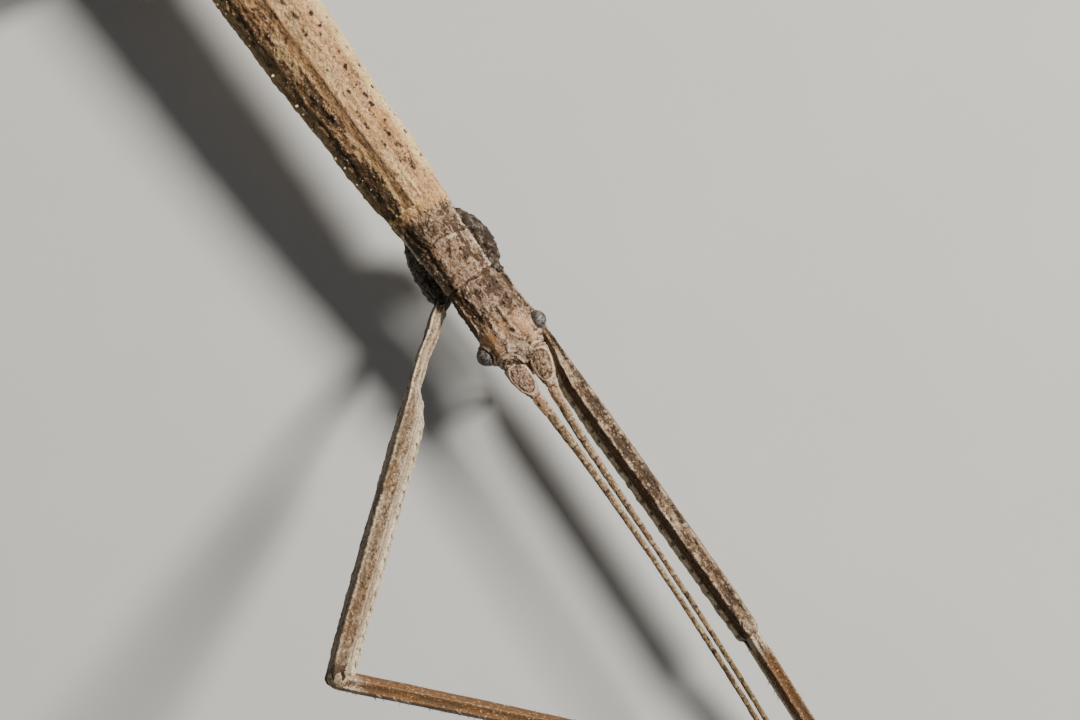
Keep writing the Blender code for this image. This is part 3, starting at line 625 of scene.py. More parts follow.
def head_relief(f, l, theta, lie):
    """The crown: ridges that meet in a plate between the feelers, their sockets, and pale lines behind."""
    u, v, w = np.moveaxis(lie, -1, 0)
    f = f + 0.10 * lumps(131, u / 0.9, v / 0.7, w)
    l = l + 0.06 * lumps(133, u / 0.8, v / 0.8, w)
    side, right, wild = np.abs(l), l < 0, partial(fractal, lie)
    upper = rise(np.sin(theta), 0.0, 0.35)
    front = rise(f, 3.2, 4.8)
    rear = 1 - front
    path = partial(line_distance, f, side)
    inner = path((3.0, 0.62), (4.6, 0.66), (5.6, 0.58), (6.7, 0.86), (7.4, 0.62), (8.3, 0.06))
    inner = hill(inner, 0.19) * upper * rise(f, 2.6, 3.8)
    socket = hill(path((6.75, 2.35), (6.85, 1.8), (7.15, 1.2), (7.5, 0.85), (8.2, 0.25)), 0.13) * upper
    temple = hill(path((0.0, 1.92), (3.9, 1.95)), 0.09) * upper
    vee = hill(path((5.45, 0.0), (6.1, 0.42), (6.75, 0.86)), 0.11) * upper
    from_eye = [place - middle for place, middle in zip((f, side, w - axis_height(f)), EYE_PLACE)]
    eye_gap = np.sqrt(sum(gap ** 2 for gap in from_eye)) - EYE_RADIUS
    orbit = hill(eye_gap - 0.10, 0.16)
    boss = (dot(f - 7.15, 0.32, l - 0.25, 0.28) + 0.7 * dot(f - 6.4, 0.25, l + 0.4, 0.22)) * upper
    from_socket = np.hypot((f - 8.1) / 1.1, side - 1.35)
    arcs = 0.5 + 0.5 * np.cos(FULL_TURN * (from_socket - 1.02) / 0.36)
    arcs = arcs * band(from_socket, 0.5, 0.62, 1.35, 1.5) * upper
    smooth = dot(f - 5.4, 1.5, side - 1.45, 0.6) * upper
    even = np.maximum(smooth, front)
    plate = rise(1.1 - np.abs(f - 7.1) / 1.35 - side / 0.95, 0.0, 0.25) * upper
    broken = 0.65 + 0.5 * wild(0.9, 0.9, 137)
    brow = hill(l + 1.90, 0.045) * band(f, 0.2, 0.5, 3.8, 4.2) * rise(broken, 0.2, 0.7)
    # crease is painted shade in the creases beside the inner ridges, stronger on the right side, away from
    # the light
    crease = hill(side - 0.78, 0.09) * band(f, 3.0, 4.6, 6.4, 7.2) * upper * (0.05 + 0.4 * right)
    shift = 0.06 * wild(1.4, 0.9, 105) + 0.05 * wild(0.34, 0.28, 109) * (1 - 0.6 * even)
    shift += 0.08 * rise(wild(0.34, 0.3, 111, 2), 0.3, 0.8) * (1 - 0.85 * even)
    shift += 0.03 * wild(1.6, 0.2, 113, 2) * rear * upper + (0.06 + 0.04 * right) * inner + 0.09 * socket
    shift += 0.09 * temple + 0.07 * vee + 0.12 * boss + 0.20 * orbit + 0.05 * arcs - 0.16 * hill(f, 0.10)
    shift += 0.14 * dot(f - 6.2, 1.3, side - 1.5, 0.45) * upper - 0.10 * dot(f - 5.3, 1.1, l, 0.45) * upper
    shift -= 0.11 * hill(side - 1.42, 0.36) * band(f, 0.1, 0.8, 3.2, 4.6) * upper
    shift -= 0.05 * hill(l - 0.06, 0.06) * fall(f, 2.6, 3.2) * upper
    shift -= 0.10 * dot(f - 7.7, 0.5, side - 1.4, 0.55) * upper
    pale = 0.42 * inner + 0.34 * socket + 0.55 * temple + 0.36 * vee + 0.40 * boss + 0.30 * arcs
    pale = (pale + 0.1 * orbit + 0.12 * plate) * broken + 0.5 * brow
    warm = 0.8 * smooth * (0.8 + 0.5 * wild(0.8, 0.6, 139)) + 0.45 * dot(f - 4.8, 1.2, l, 0.5)
    dark = 0.68 + 0.26 * wild(0.6, 0.5, 121) - 0.42 * warm + 0.12 * (1 - upper) - 0.6 * brow - 0.10 * arcs
    # painted shade: the lower right side of the head and the gap round each eye are painted darker
    dark += 0.5 * rise(-l, 1.8, 2.1) * rear + 0.14 * hill(side - 1.6, 0.4) * rear * upper - 0.14 * plate
    dark += 0.3 * dot(f - 8.1, 0.35, side - 0.5, 0.35) + 0.3 * hill(eye_gap, 0.12)
    black = (0.9 * dot(f - 0.05, 0.06, l - 0.3, 0.75) + 0.5 * dot(l - 0.06, 0.05, f - 2.0, 0.8)) * upper
    black += 0.7 * hill(side - 1.68, 0.09) * band(f, 0.2, 0.6, 2.8, 3.6) * upper * rise(broken, 0.4, 0.9)
    shade = 0.26 + 0.22 * wild(0.7, 0.5, 135) + 0.14 * rear - 0.08 * smooth + 0.30 * rise(side, 2.1, 2.5)
    # painted shade: the right-side terms here and below darken the side away from the light, and crease and
    # the eye gap get painted shade; the term with l is mottling
    shade += (0.30 * rise(-l, 0.9, 1.7) + 0.30 * rise(l, 1.4, 1.9) + 0.60 * rise(-l, 1.85, 2.15)) * rear
    shade += 0.5 * crease - 0.6 * brow + 0.5 * hill(eye_gap - 0.02, 0.10) - 0.2 * warm
    shade += 0.20 * hill(path((6.75, 1.2), (7.4, 0.85), (8.2, 0.25)) - 0.14, 0.08) * upper
    shade += 0.12 * rise(-l, 0.1, 0.5) * plate + 0.10 * dot(f - 6.2, 1.2, l + 1.5, 0.5)
    return shift, pale, dark, black, warm, shade


# skin, outline, relief, first and last F, step along, points round it, and the nodes that it stands for
TRUNK_SKINS = (
    ("head_and_pronotum_skin", either(head_section, trunk_section), either(head_relief, pronotum_relief),
     HEAD_TIP, -8.3, 0.045, 230, ("head", "prothorax")),
    ("mesothorax_skin", trunk_section, trunk_relief, -7.9, -43.9, 0.09, 240, ("mesothorax",)),
    ("hind_trunk_skin", trunk_section, trunk_relief, -43.9, -157.35, 0.16, 110,
     ("metathorax", *(f"abdomen_{k:02d}" for k in range(1, len(ABDOMEN_LENGTHS) + 1)))))


def build_trunk(body_skin):
    for name, outline, relief, front, back, step, sides, nodes in TRUNK_SKINS:
        f, theta = grid(np.linspace(front, back, int((front - back) / step)), turns(sides) - math.pi / 2)
        l, height = outline(f, theta)
        lie = np.stack([f, l, height], -1)
        pile = Pile()
        raised(pile, at(f, l, height), lie, *relief(f, l, theta, lie))
        pile.object(name, body_skin, "cuticle_body", nodes)


# ---- eyes, mouth and feelers ---------------------------------------------------------------------
RIM_RADIUS, RIM_WIDTH, RIM_LIFT = 0.83, 0.12, 0.02
# distance ahead of the joint, half width, and how far above and below the axis it reaches
MOUTH_SECTIONS = ((7.2, 1.5, -0.1, 1.7), (8.3, 1.35, -0.3, 1.8), (9.1, 1.0, -0.75, 1.75),
                  (9.6, 0.55, -1.0, 1.55))
PALP_START = (8.4, 0.8, -2.25)  # ahead of the joint, out, and above the axis
PALP_LENGTHS = (0.8, 0.9, 0.7)
PALP_RADIUS = 0.27
HEAD_LENGTH = 7.8
FEELER_START = HEAD_LENGTH + 0.1
# the gap between the two far ahead, at the sockets, and the length over which they close up
FEELER_SPREAD = (0.68, 2.7, 4.5)
FEELER_DRIFT = 0.0014
SCAPE_LENGTH, PEDICEL_LENGTH, FLAGELLUM_LENGTH = 3.4, 1.9, 60.0
SCAPE_HALF_WIDTHS = ((0, 0.80), (0.15, 0.92), (0.42, 0.98), (0.7, 0.86), (0.92, 0.64), (1, 0.5))
SCAPE_FLATNESS = 0.62
PEDICEL_RADII = ((0, 0.44), (0.12, 0.50), (0.5, 0.48), (0.92, 0.43), (1, 0.38))
FLAGELLUM_RADII = ((0, 0.395), (7.5, 0.305), (16, 0.235), (60, 0.185))
FLAGELLUM_JOINT = 1.75  # length of one of its short segments


def heading(side, ahead_deg, up_deg=0.0):
    """The direction that many degrees out from straight ahead, on that side, and above level."""
    a, e = math.radians(ahead_deg), math.radians(up_deg)
    return np.array([side * math.sin(a) * math.cos(e), -math.cos(a) * math.cos(e), math.sin(e)])


def ball(pile, centre, radius, pole, rough):
    """A ball whose pole mark grows from 0 at its back to 1 at its outer end."""
    pole = unit(pole)
    across = unit(np.cross(pole, (0.31, 0.57, 0.76)))
    polar, turn = (angle[..., None] for angle in grid(np.linspace(0.02, math.pi - 0.02, 40), turns(64)))
    around = np.cos(turn) * across + np.sin(turn) * np.cross(pole, across)
    away = np.sin(polar) * around - np.cos(polar) * pole
    bulge = 1 + rough * fractal(away, 0.3, 0.3, 7)[..., None]
    grid_tube(pile, centre + away * radius * bulge, pole=(1 - np.cos(polar[..., 0])) / 2)


def build_eyes(body_skin):
    """Dull mottled balls, each set in a raised rim that looks outward and up."""
    skin, rims = eye_material(), Pile()
    for word, side in SIDES_OF_BODY:
        forward, out, up = EYE_PLACE
        centre = at(forward, side * out, axis_height(forward) + up)
        pile = Pile()
        ball(pile, centre, EYE_RADIUS, (side, -0.4, 0.1 if side > 0 else 0.9), 0.02)
        pile.dress("eye", word, skin, "eyes")
        pole = unit((side, -0.12, 0.70))
        across = unit(np.cross(pole, (0, 1.0, 0)))
        turn, angle = grid(np.append(turns(150), 0.0), turns(20))
        away = np.cos(turn)[..., None] * across + np.sin(turn)[..., None] * np.cross(pole, across)
        width = RIM_WIDTH * (1 + 0.7 * lumps(401, np.cos(turn) * 3, np.sin(turn) * 3))
        reach, height = RIM_RADIUS + width * np.cos(angle), RIM_LIFT + width * np.sin(angle)
        lie = np.stack([turn * 0.8, np.cos(angle) * 0.2, height], -1) + 7 * side
        points = centre + away * reach[..., None] + pole * height[..., None]
        grid_tube(rims, points, lie=lie, dark=0.7, shade=0.45)
    rims.object("eye_rims", body_skin, "cuticle_body")


def round_tube(pile, points, radii, sides, relief, blunt, start=0.0, flatness=1.0, tip=0.0):
    """Adds a tube along a path; blunt rounds its ends, and tip is a mark that grows to the far end."""
    run = np.append(0, np.cumsum(np.linalg.norm(np.diff(points, axis=0), axis=1)))
    near = np.minimum(run, run[-1] - run)
    radii = radii * np.sqrt(1 - (1 - np.clip(near / blunt, 0.0, 1)) ** 2 * 0.96)
    along = unit(np.gradient(points, axis=0))
    side = unit(np.cross(along, (0.0, 0.0, 1.0)))
    run, angle = grid(run, turns(sides))
    across, tall = radii[:, None] * np.cos(angle), radii[:, None] * np.sin(angle) * flatness
    up = np.cross(side, along)
    rings = points[:, None] + side[:, None] * across[..., None] + up[:, None] * tall[..., None]
    lie = np.stack([run + start, across, tall], -1)
    if relief:
        raised(pile, rings, lie, *relief(run, angle, lie))
    else:
        grid_tube(pile, rings, lie=lie, tip=run / run[-1] * tip)


def plain_relief(seed, dark, rough, run, angle, lie):
    """Soft lumps. Every relief gives its shift outward and the marks pale, dark, black, warm and shade."""
    pale, dark = 0.2 * hill(np.sin(angle) - 1, 0.4), dark + 0.2 * fractal(lie, 1.0, 0.8, seed + 3)
    return rough * fractal(lie, 0.8, 0.5, seed), pale, dark, 0.0, 0.0, 0.25


def build_mouth(body_skin):
    f, angle = grid(np.linspace(7.6, 9.75, 60), turns(90))
    half, top, bottom = columns(MOUTH_SECTIONS, f)
    shrink = np.sqrt(np.clip(1 - rise(f, 9.0, 9.8) ** 2, 0.02, 1))
    l = half * shrink * np.cos(angle)
    height = axis_height(f) + (top - bottom) / 2 + (top + bottom) / 2 * shrink * np.sin(angle)
    lie = np.stack([f, l, height], -1)
    shift = 0.03 * fractal(lie, 0.7, 0.5, 71) - 0.12 * hill(f - 8.75 - 0.1 * np.abs(l), 0.09)
    shift -= 0.10 * hill(l, 0.05) * rise(f, 8.75, 8.9)
    dark = 0.35 + 0.2 * fractal(lie, 0.8, 0.6, 73) + 0.3 * hill(f - 8.75, 0.15)
    jaws = Pile()
    raised(jaws, at(f, l, height), lie, shift, 0.2 * rise(f, 9.0, 9.5), dark, 0.5 * hill(l, 0.05), 0.3, 0.3)
    jaws.object("mouth_skin", body_skin, "cuticle_body", ("mouthparts",))
    for word, side in SIDES_OF_BODY:
        pile = Pile()
        forward, out, below = PALP_START
        point = at(forward, side * out, axis_height(MOUTH_SECTIONS[-1][0]) + below)
        swell = PALP_RADIUS * (0.8 + 0.2 * np.sin(np.linspace(0.3, 2.6, 26)))
        for k, length in enumerate(PALP_LENGTHS):
            step = heading(side, 2 + 2 * k, -40 - 22 * k) * length
            path = point + step * np.linspace(-0.06, 1.06, 26)[:, None]
            round_tube(pile, path, swell, 24, partial(plain_relief, 80 + k, 0.2, 0.01), 0.16, k)
            point = point + step
        pile.dress("palp", word, body_skin, "cuticle_body")


def feeler_point(side, forward):
    """Where a feeler runs: the two close up side by side, then bend gently to the right together."""
    ahead = forward - HEAD_LENGTH
    near, socket, closing = FEELER_SPREAD
    spread = near + (socket - near) * np.exp(-ahead / closing)
    middle = -0.7 * (1 - np.exp(-ahead / closing)) - FEELER_DRIFT * np.maximum(ahead - 8.0, 0.0) ** 2
    return at(forward, middle + side * spread / 2, 8.55 + 0.05 * ahead - 0.0008 * ahead ** 2)


def scape_relief(run, angle, lie):
    """The broad first joint: a flat upper plate inside a pale raised rim."""
    share, out, wild = run / SCAPE_LENGTH, np.abs(np.cos(angle)), partial(fractal, lie)
    top = rise(np.sin(angle), 0.05, 0.3)
    oval = (np.abs((share - 0.55) / 0.43) ** 3 + (out / 0.86) ** 3) ** (1 / 3)
    rim, moat = hill(oval - 1, 0.10) * top, hill(oval - 0.88, 0.05) * top
    plate = rise(1 - oval, 0.03, 0.15) * top
    spots = rise(wild(0.17, 0.14, 95, 2), -0.3, 0.4)
    neck = hill(share - 0.08, 0.02)
    shift = 0.05 * rim - 0.03 * plate + 0.04 * plate * wild(0.2, 0.16, 91)
    shift += 0.02 * wild(0.8, 0.4, 93) - 0.10 * neck
    dark = 0.50 + 0.12 * plate + 0.15 * moat - 0.3 * rim
    shade = 0.30 + 0.36 * plate * spots + 0.25 * moat + 0.3 * (1 - top) - 0.3 * rim
    return shift, 0.32 * rim + 0.15 * plate * (1 - spots), dark, 0.4 * neck, 0.05 * plate, shade


def pedicel_relief(run, angle, lie):
    share, wild = run / PEDICEL_LENGTH, partial(fractal, lie)
    rim = hill(np.abs(np.cos(angle)) - 0.8, 0.14) * rise(np.sin(angle), -0.1, 0.4)
    shift = 0.04 * rim + 0.035 * wild(0.5, 0.3, 97) - 0.05 * hill(share - 0.06, 0.03)
    pale, black = 0.55 * rim + 0.4 * hill(share - 0.96, 0.03), 0.4 * hill(share - 0.05, 0.03)
    dark, shade = 0.48 + 0.3 * wild(0.6, 0.3, 99), 0.30 + 0.3 * wild(0.4, 0.25, 101) - 0.2 * rim
    return shift, pale, dark, black, 0.3, shade


def flagellum_relief(seed, run, angle, lie):
    """The long thread: short joints that swell towards their far ends, some of them darker."""
    place = run / FLAGELLUM_JOINT + 0.12 * np.sin(run * 0.8 + seed)
    number = np.floor(place)
    share, out, wild = place - number, np.abs(np.cos(angle)) - 0.75, partial(fractal, lie)
    ring = np.minimum(share, 1 - share) * FLAGELLUM_JOINT
    top, far = rise(np.sin(angle), 0, 0.4), rise(run, 8, 40)
    tone = lumps(seed + 5, number * 0.83)
    shift = 0.016 * share ** 2 - 0.03 * hill(ring, 0.06) + 0.025 * wild(0.5, 0.3, seed)
    shift += 0.02 * hill(out, 0.2) * top
    pale = 0.6 * hill(share - 0.86, 0.07) + 0.3 * hill(out, 0.15) * top
    dark = 0.46 + 0.2 * tone + 0.3 * wild(0.6, 0.3, seed + 9) + 0.1 * far
    black = 0.7 * hill(ring, 0.05) + 0.6 * rise(tone, 0.55, 0.8) * hill(share - 0.12, 0.12)
    shade = 0.06 + 0.3 * far + 0.2 * (1 - top) + 0.2 * wild(0.5, 0.3, seed + 11)
    return shift, pale, dark, black, 0.1 + 0.5 * far, shade


def build_feelers(body_skin, thread_skin):
    """Each piece starts a little inside the one before it."""
    for number, (word, side) in enumerate(SIDES_OF_BODY):
        start = FEELER_START
        thread_relief = partial(flagellum_relief, 301 + 20 * number)
        # name, skin, length, how far it starts inside, step, sides, widths and the length that these go by,
        # and the rest of what round_tube needs
        for part, skin, length, back, step, sides, widths, per, *shape in (
                ("scape", body_skin, SCAPE_LENGTH, 0.32, 0.04, 96, SCAPE_HALF_WIDTHS, SCAPE_LENGTH,
                 scape_relief, 0.15, 4 * number, SCAPE_FLATNESS),
                ("pedicel", body_skin, PEDICEL_LENGTH, 0.1, 0.04, 64, PEDICEL_RADII, PEDICEL_LENGTH,
                 pedicel_relief, 0.08, 4 * number + 9),
                ("flagellum", thread_skin, FLAGELLUM_LENGTH, 0.1, 0.07, 24, FLAGELLUM_RADII, 1.0,
                 thread_relief, 0.08, 70 * number + 10)):
            forward = np.linspace(start - back, start + length, int(length / step))
            radii = curve(widths, (forward - start + back) / per)
            pile = Pile()
            round_tube(pile, feeler_point(side, forward), radii, sides, *shape)
            pile.dress(part, word, skin, "cuticle_antennae")
            start += length


# ---- legs ----------------------------------------------------------------------------------------
FEMUR_LENGTHS = {"front": 38.3, "middle": 27.0, "hind": 33.0}
TIBIA_LENGTHS = {"front": 39.0, "middle": 26.5, "hind": 36.0}
TARSUS_LENGTHS = {"front": 10.0, "middle": 8.0, "hind": 9.0}
# how far behind its joint with the femur a coxa starts, how far out, and how far below the body's axis
COXA_ROOTS = {"front": (5.0, 2.25, 1.5), "middle": (1.0, 2.2, 1.2), "hind": (1.0, 2.2, 1.2)}
COXA_RADII = ((0, 0.9), (0.25, 1.08), (0.55, 1.08), (0.85, 0.95), (1, 0.65))
COXA_TAPER = 0.24  # the skin of a front coxa starts this share of its length before its root
COXA_BULGES = {"front_left": 0.45, "front_right": 0.1}
# how dark and spotted each coxa is; the right front one is toned to match the painted shade on the body's
# right side
COXA_DARKNESS = {"front_left": 0.85, "front_right": 0.65}
RING_RADIUS, RING_HALF_LENGTH = 0.62, 0.95  # of the short joint between coxa and femur
ANKLE_HEIGHT = 1.15
# share of the length, half width, half height, and shift towards the head
FRONT_FEMUR = ((0.0, 0.58, 0.6, 0.0), (0.08, 0.54, 0.58, -0.12), (0.16, 0.48, 0.56, -0.36),
               (0.23, 0.48, 0.58, -0.36), (0.28, 0.82, 0.78, -0.1), (0.33, 1.04, 0.94, 0.04),
               (0.42, 1.09, 1.0, 0.02), (0.65, 1.07, 1.0, -0.04), (0.9, 1.04, 1.0, -0.08),
               (0.97, 1.0, 0.97, -0.04), (1.0, 0.94, 0.92, 0.0))
OTHER_FEMUR = ((0.0, 0.6, 0.65, 0.0), (0.06, 0.85, 0.9, 0.0), (0.3, 1.0, 1.05, 0.0), (0.7, 0.95, 0.98, 0.0),
               (0.93, 1.0, 0.98, 0.0), (0.97, 0.95, 0.9, 0.0), (1.0, 0.85, 0.82, 0.0))
TIBIA = ((0.0, 0.76, 0.7, 0.0), (0.03, 0.80, 0.72, 0.0), (0.3, 0.78, 0.7, 0.0), (0.85, 0.7, 0.64, 0.0),
         (0.97, 0.76, 0.7, 0.0), (1.0, 0.6, 0.55, 0.0))
# a limb's outline as shares of its half width and half height, with four ridges; inner is towards the head
INNER, LOW_INNER, LOW_OUTER, OUTER = (0.5, 1.0), (1.0, -0.78), (-1.0, -0.78), (-0.5, 1.0)
LIMB_OUTLINE = (INNER, (0.8, 0.3), LOW_INNER, (0.55, -1.0), (-0.55, -1.0), LOW_OUTER, (-0.8, 0.3), OUTER)
LIMB_SIDES = 80
# side (+1 left), distance behind the head of the femur's root, how far out and below the body's axis it is,
# then degrees from straight ahead and above level of the femur, from ahead of tibia and foot, and the roll
LEGS = {
    "front_left": (1, 0.0, 2.32, 2.35, -0.9, 1.6, -3.4, 2.0, 14.0),
    "front_right": (-1, 0.0, 3.0, 1.7, 50.3, 34.2, -37.8, -8.0, 0.0),
    "middle_left": (1, 41.0, 4.9, 2.2, 78.0, 28.0, 92.0, 88.0, 0.0),
    "middle_right": (-1, 41.0, 4.9, 2.2, 106.0, 28.0, 98.0, 104.0, 0.0),
    "hind_left": (1, 61.5, 4.9, 2.2, 141.0, 23.0, 150.0, 146.0, 0.0),
    "hind_right": (-1, 61.5, 4.9, 2.2, 133.0, 24.0, 146.0, 150.0, 0.0),
}
# share of the foot's length, half width and top
TARSUS_STATIONS = ((0.0, 0.32, 1.25), (0.08, 0.4, 1.05), (0.4, 0.4, 0.85), (0.44, 0.3, 0.66),
                   (0.5, 0.4, 0.8), (0.6, 0.4, 0.78), (0.63, 0.3, 0.62), (0.68, 0.4, 0.75), (0.76, 0.3, 0.6),
                   (0.82, 0.36, 0.75), (0.96, 0.45, 0.85), (1.0, 0.32, 0.7))
TARSUS_JOINTS = (0.44, 0.63, 0.76)
FOOT_LIFT = ((0.0, 0.55), (0.08, 0.25), (0.16, 0.0))
HEEL_GAP, HEEL_LAP = 0.75, 0.35  # from the ankle to the foot's first joint, and how far its skin runs back
SOLE_HEIGHT = 0.015
FEMUR_REACH, TIBIA_REACH = (-0.15, 0.45), (0.35, 0.25)  # how far each end of the skin goes past its joint
KNEE_CAP, KNEE_CAP_SPAN = 0.90, (-0.9, 0.72)
KNEE_LOBE_SPAN, KNEE_LOBE_OUT, KNEE_LOBE_DOWN = (-0.3, 1.5), 0.62, 0.35
CLAW_LENGTH, CLAW_RADIUS, CLAW_SPREAD, CLAW_HEIGHT, CLAW_ARCH = 1.5, 0.28, 28.0, 0.48, 0.55
TOE_PAD_RADIUS, TOE_PAD_HEIGHT, TOE_PAD_SPAN = 0.3, 0.42, (-0.1, 0.75)
LEG_OFFSET = 100.0  # sets the patterns of each leg apart from those of the one before
UP = np.array([0, 0, 1.0])


def turned(vector, axis, angle):
    c, s = math.cos(angle), math.sin(angle)
    return vector * c + np.cross(axis, vector) * s + axis * vector.dot(axis) * (1 - c)


def soft_outline():
    """The limb's outline as closely spaced points, with its corners a little rounded."""
    corners = np.array(LIMB_OUTLINE + LIMB_OUTLINE[:1])
    run = np.append(0, np.cumsum(np.linalg.norm(np.diff(corners, axis=0), axis=1)))
    places = np.linspace(0, run[-1], LIMB_SIDES * 4, endpoint=False)
    fine = np.stack([np.interp(places, run, column) for column in corners.T], -1)
    weights = np.hanning(19)
    smooth = sum(np.roll(fine, k - 9, 0) * weight for k, weight in enumerate(weights)) / weights.sum()
    return smooth[::4] * 1.012


def limb_axes(start, end, side, roll_deg):
    """The directions along a limb, across it towards the head, and up, turned by its roll."""
    along = unit(end - start)
    up = unit(UP - along * along[2])
    turn = math.radians(-side * roll_deg)
    return along, turned(np.cross(along, up) * side, along, turn), turned(up, along, turn)


def near_corner(a, b, half, tall, x, y, width):
    """1 at a corner of the limb's outline, and less with distance from it."""
    return hill(np.hypot((a - x) * half, (b - y) * tall), width)


def teeth(run, spacing, seed):
    """Uneven small teeth along a ridge, between 0 and 1."""
    wave = np.sin(FULL_TURN * (run / spacing + 0.35 * lumps(seed, run / spacing / 2.3)))
    return rise(wave, 0.1, 0.9) * (0.6 + 0.4 * lumps(seed + 1, run / spacing))


def femur_relief(kind, length, seed, run, a, b, half, tall, lie):
    """Toothed ridges, a pale inner keel with black dashes, and marks of its own on each front leg, partly
    painted light and shade.
    """
    share, wild, ridge = run / length, partial(fractal, lie), partial(near_corner, a, b, half, tall)
    left, right = kind == "front_left", kind == "front_right"
    blade = rise(share, 0.22, 0.32) if left or right else rise(share, 0.02, 0.08)
    top, outer = rise(b, 0.75, 0.9), rise(-a, 0.42, 0.58)
    keel = rise(a, 0.76, 0.84) * fall(b, -0.12, 0.06)
    inner_flank = rise(a, 0.5, 0.60) * band(b, -0.06, 0.16, 0.82, 0.96) * blade
    bite = blade * (1.6 if right else 1.0)
    shift = 0.04 * wild(1.0, 0.4, seed) + 0.045 * wild(0.35, 0.25, seed + 2) + 0.08 * ridge(*INNER, 0.10)
    shift += 0.08 * ridge(*OUTER, 0.10) + 0.10 * ridge(*LOW_INNER, 0.15) + 0.10 * ridge(*LOW_OUTER, 0.12)
    shift += (0.14 * keel + 0.06 * outer - 0.05 * hill(a, 0.28) * top) * blade - 0.05 * inner_flank
    shift += 0.07 * bite * ridge(*LOW_INNER, 0.12) * teeth(run, 1.45, seed + 4)
    shift += 0.06 * bite * ridge(*OUTER, 0.12) * teeth(run, 1.1, seed + 5)
    shift += 0.03 * (1 - blade) * np.sin(7 * a) * rise(b, -0.4, 0.4)
    dash = rise(np.sin(FULL_TURN * (run / 1.45 + 0.3 * lumps(seed + 6, run / 2.0))), 0.55, 0.8)
    black = 0.95 * keel * hill(b + 0.25, 0.28) * dash * blade
    black += 0.5 * rise(share, 0.92, 0.96) * rise(wild(0.4, 0.25, seed + 8), 0.35, 0.8)
    neck = rise(b, 0.0, 0.5) * (0.15 + 0.45 * rise(np.sin(11 * a), 0.0, 0.8)) * (1 - blade)
    pale = 0.25 * ridge(*INNER, 0.08) + 0.2 * ridge(*OUTER, 0.09) + 0.5 * ridge(*LOW_INNER, 0.15)
    pale += 0.45 * ridge(*LOW_OUTER, 0.13)
    # the left foreleg's keel is painted paler than its own colour, as painted light, though it lies in the
    # femur's shadow
    pale += 1.3 * keel * blade + 0.3 * neck if left else 0.3 * keel * blade + neck
    dark = 0.46 + 0.26 * wild(1.6, 0.6, seed + 10) + 0.1 * fall(b, -0.8, -0.3)
    # the right foreleg's outer flank gets less shade than the others: painted light on its shadowed side
    shade = 0.12 + (0.10 if right else 0.35) * outer + 0.2 * wild(1.2, 0.4, seed + 14)
    if left:
        blots = wild(1.1, 0.6, seed + 16)
        outer_dash = rise(fractal(run[..., None] * (1, 0, 0), 0.9, 1.0, seed + 7), 0.1, 0.5)
        black += 0.9 * (ridge(*OUTER, 0.09) + rise(-a, 0.5, 0.6) * rise(b, 0.55, 0.85)) * outer_dash
        dark = (dark + (0.24 + 0.12 * blots) * top) * (1 - keel)
        # painted shade: the left foreleg's inner flank, turned from the light, is painted deep warm brown
        shade = shade * (1 - keel) + 0.5 * inner_flank
        shade += 0.06 * rise(b, 0.3, 0.8) + 0.22 * rise(blots, 0.2, 0.6) * top
        pale += 0.18 * rise(-blots, 0.25, 0.6) * top
    if right:
        stripes = wild(5.0, 0.28, seed + 15, 2)
        # painted light: here and in the next two lines the right foreleg's inner flank, turned to the light,
        # is painted pale with less shade and dark, over its own whitish colour
        pale += (0.7 * rise(a, 0.66, 0.78) + 0.2 * rise(stripes, 0.0, 0.5)) * rise(b, -0.7, -0.4) * blade
        shade += (0.22 + 0.35 * rise(-stripes, 0.0, 0.5)) * blade * (1 - 0.8 * rise(a, 0.60, 0.72))
        dark += 0.10 * outer - 0.25 * rise(a, 0.42, 0.55) + 0.5 * rise(share, 0.97, 0.99)
        black += 0.30 * rise(share, 0.975, 0.995) * rise(wild(0.6, 0.4, seed + 9), -0.4, 0.2)
    # 0.9 * inner_flank * left is part of the painted shade on the left foreleg's inner flank
    warm = 0.3 * rise(wild(3.0, 1.0, seed + 12), 0.0, 0.6) + 0.9 * inner_flank * left
    return shift, pale, dark, black, warm, shade


def tibia_relief(kind, length, seed, run, a, b, half, tall, lie):
    """Low ridges, a dark groove along the top, and on the left foreleg a pale knee and a lit inner edge."""
    wild, ridge = partial(fractal, lie), partial(near_corner, a, b, half, tall)
    left, top = kind == "front_left", rise(b, 0.4, 0.8)
    edges = ridge(*INNER, 0.10) + ridge(*OUTER, 0.10)
    low = ridge(*LOW_INNER, 0.13) + ridge(*LOW_OUTER, 0.13)
    streak = rise(wild(4.5, 0.6, seed + 5), -0.25, 0.35) * top
    lit = left * rise(a, 0.80, 0.88) * fall(b, -0.35, -0.1)
    shift = 0.025 * wild(1.4, 0.4, seed) + 0.07 * edges + 0.05 * low - 0.06 * hill(a, 0.26) * top
    shift += 0.03 * edges * teeth(run, 0.9, seed + 3)
    pale = 0.15 * edges + 0.5 * low + 0.9 * lit
    pale += (0.6 * left + 0.1) * fall(run, 0.8, 2.4) * rise(b, -0.2, 0.3)
    dark = 0.40 + 0.35 * hill(a, 0.24) * streak + 0.2 * wild(1.8, 0.5, seed + 7)
    warm = 0.97 * rise(run, 1.2, 3.0) * (1 - 0.35 * rise(run, length - 8, length))
    shade = 0.18 + 0.80 * hill(a + 0.1, 0.24) * streak * rise(run, 1.5, 3.5)
    shade += (0.4 * fall(b, -0.5, 0.5) + 0.2 * rise(wild(1.6, 0.4, seed + 9), 0.0, 0.5)) * (1 - low)
    return shift, pale, dark * (1 - 0.5 * lit), 0.0, warm * (1 - lit), shade * (1 - lit)


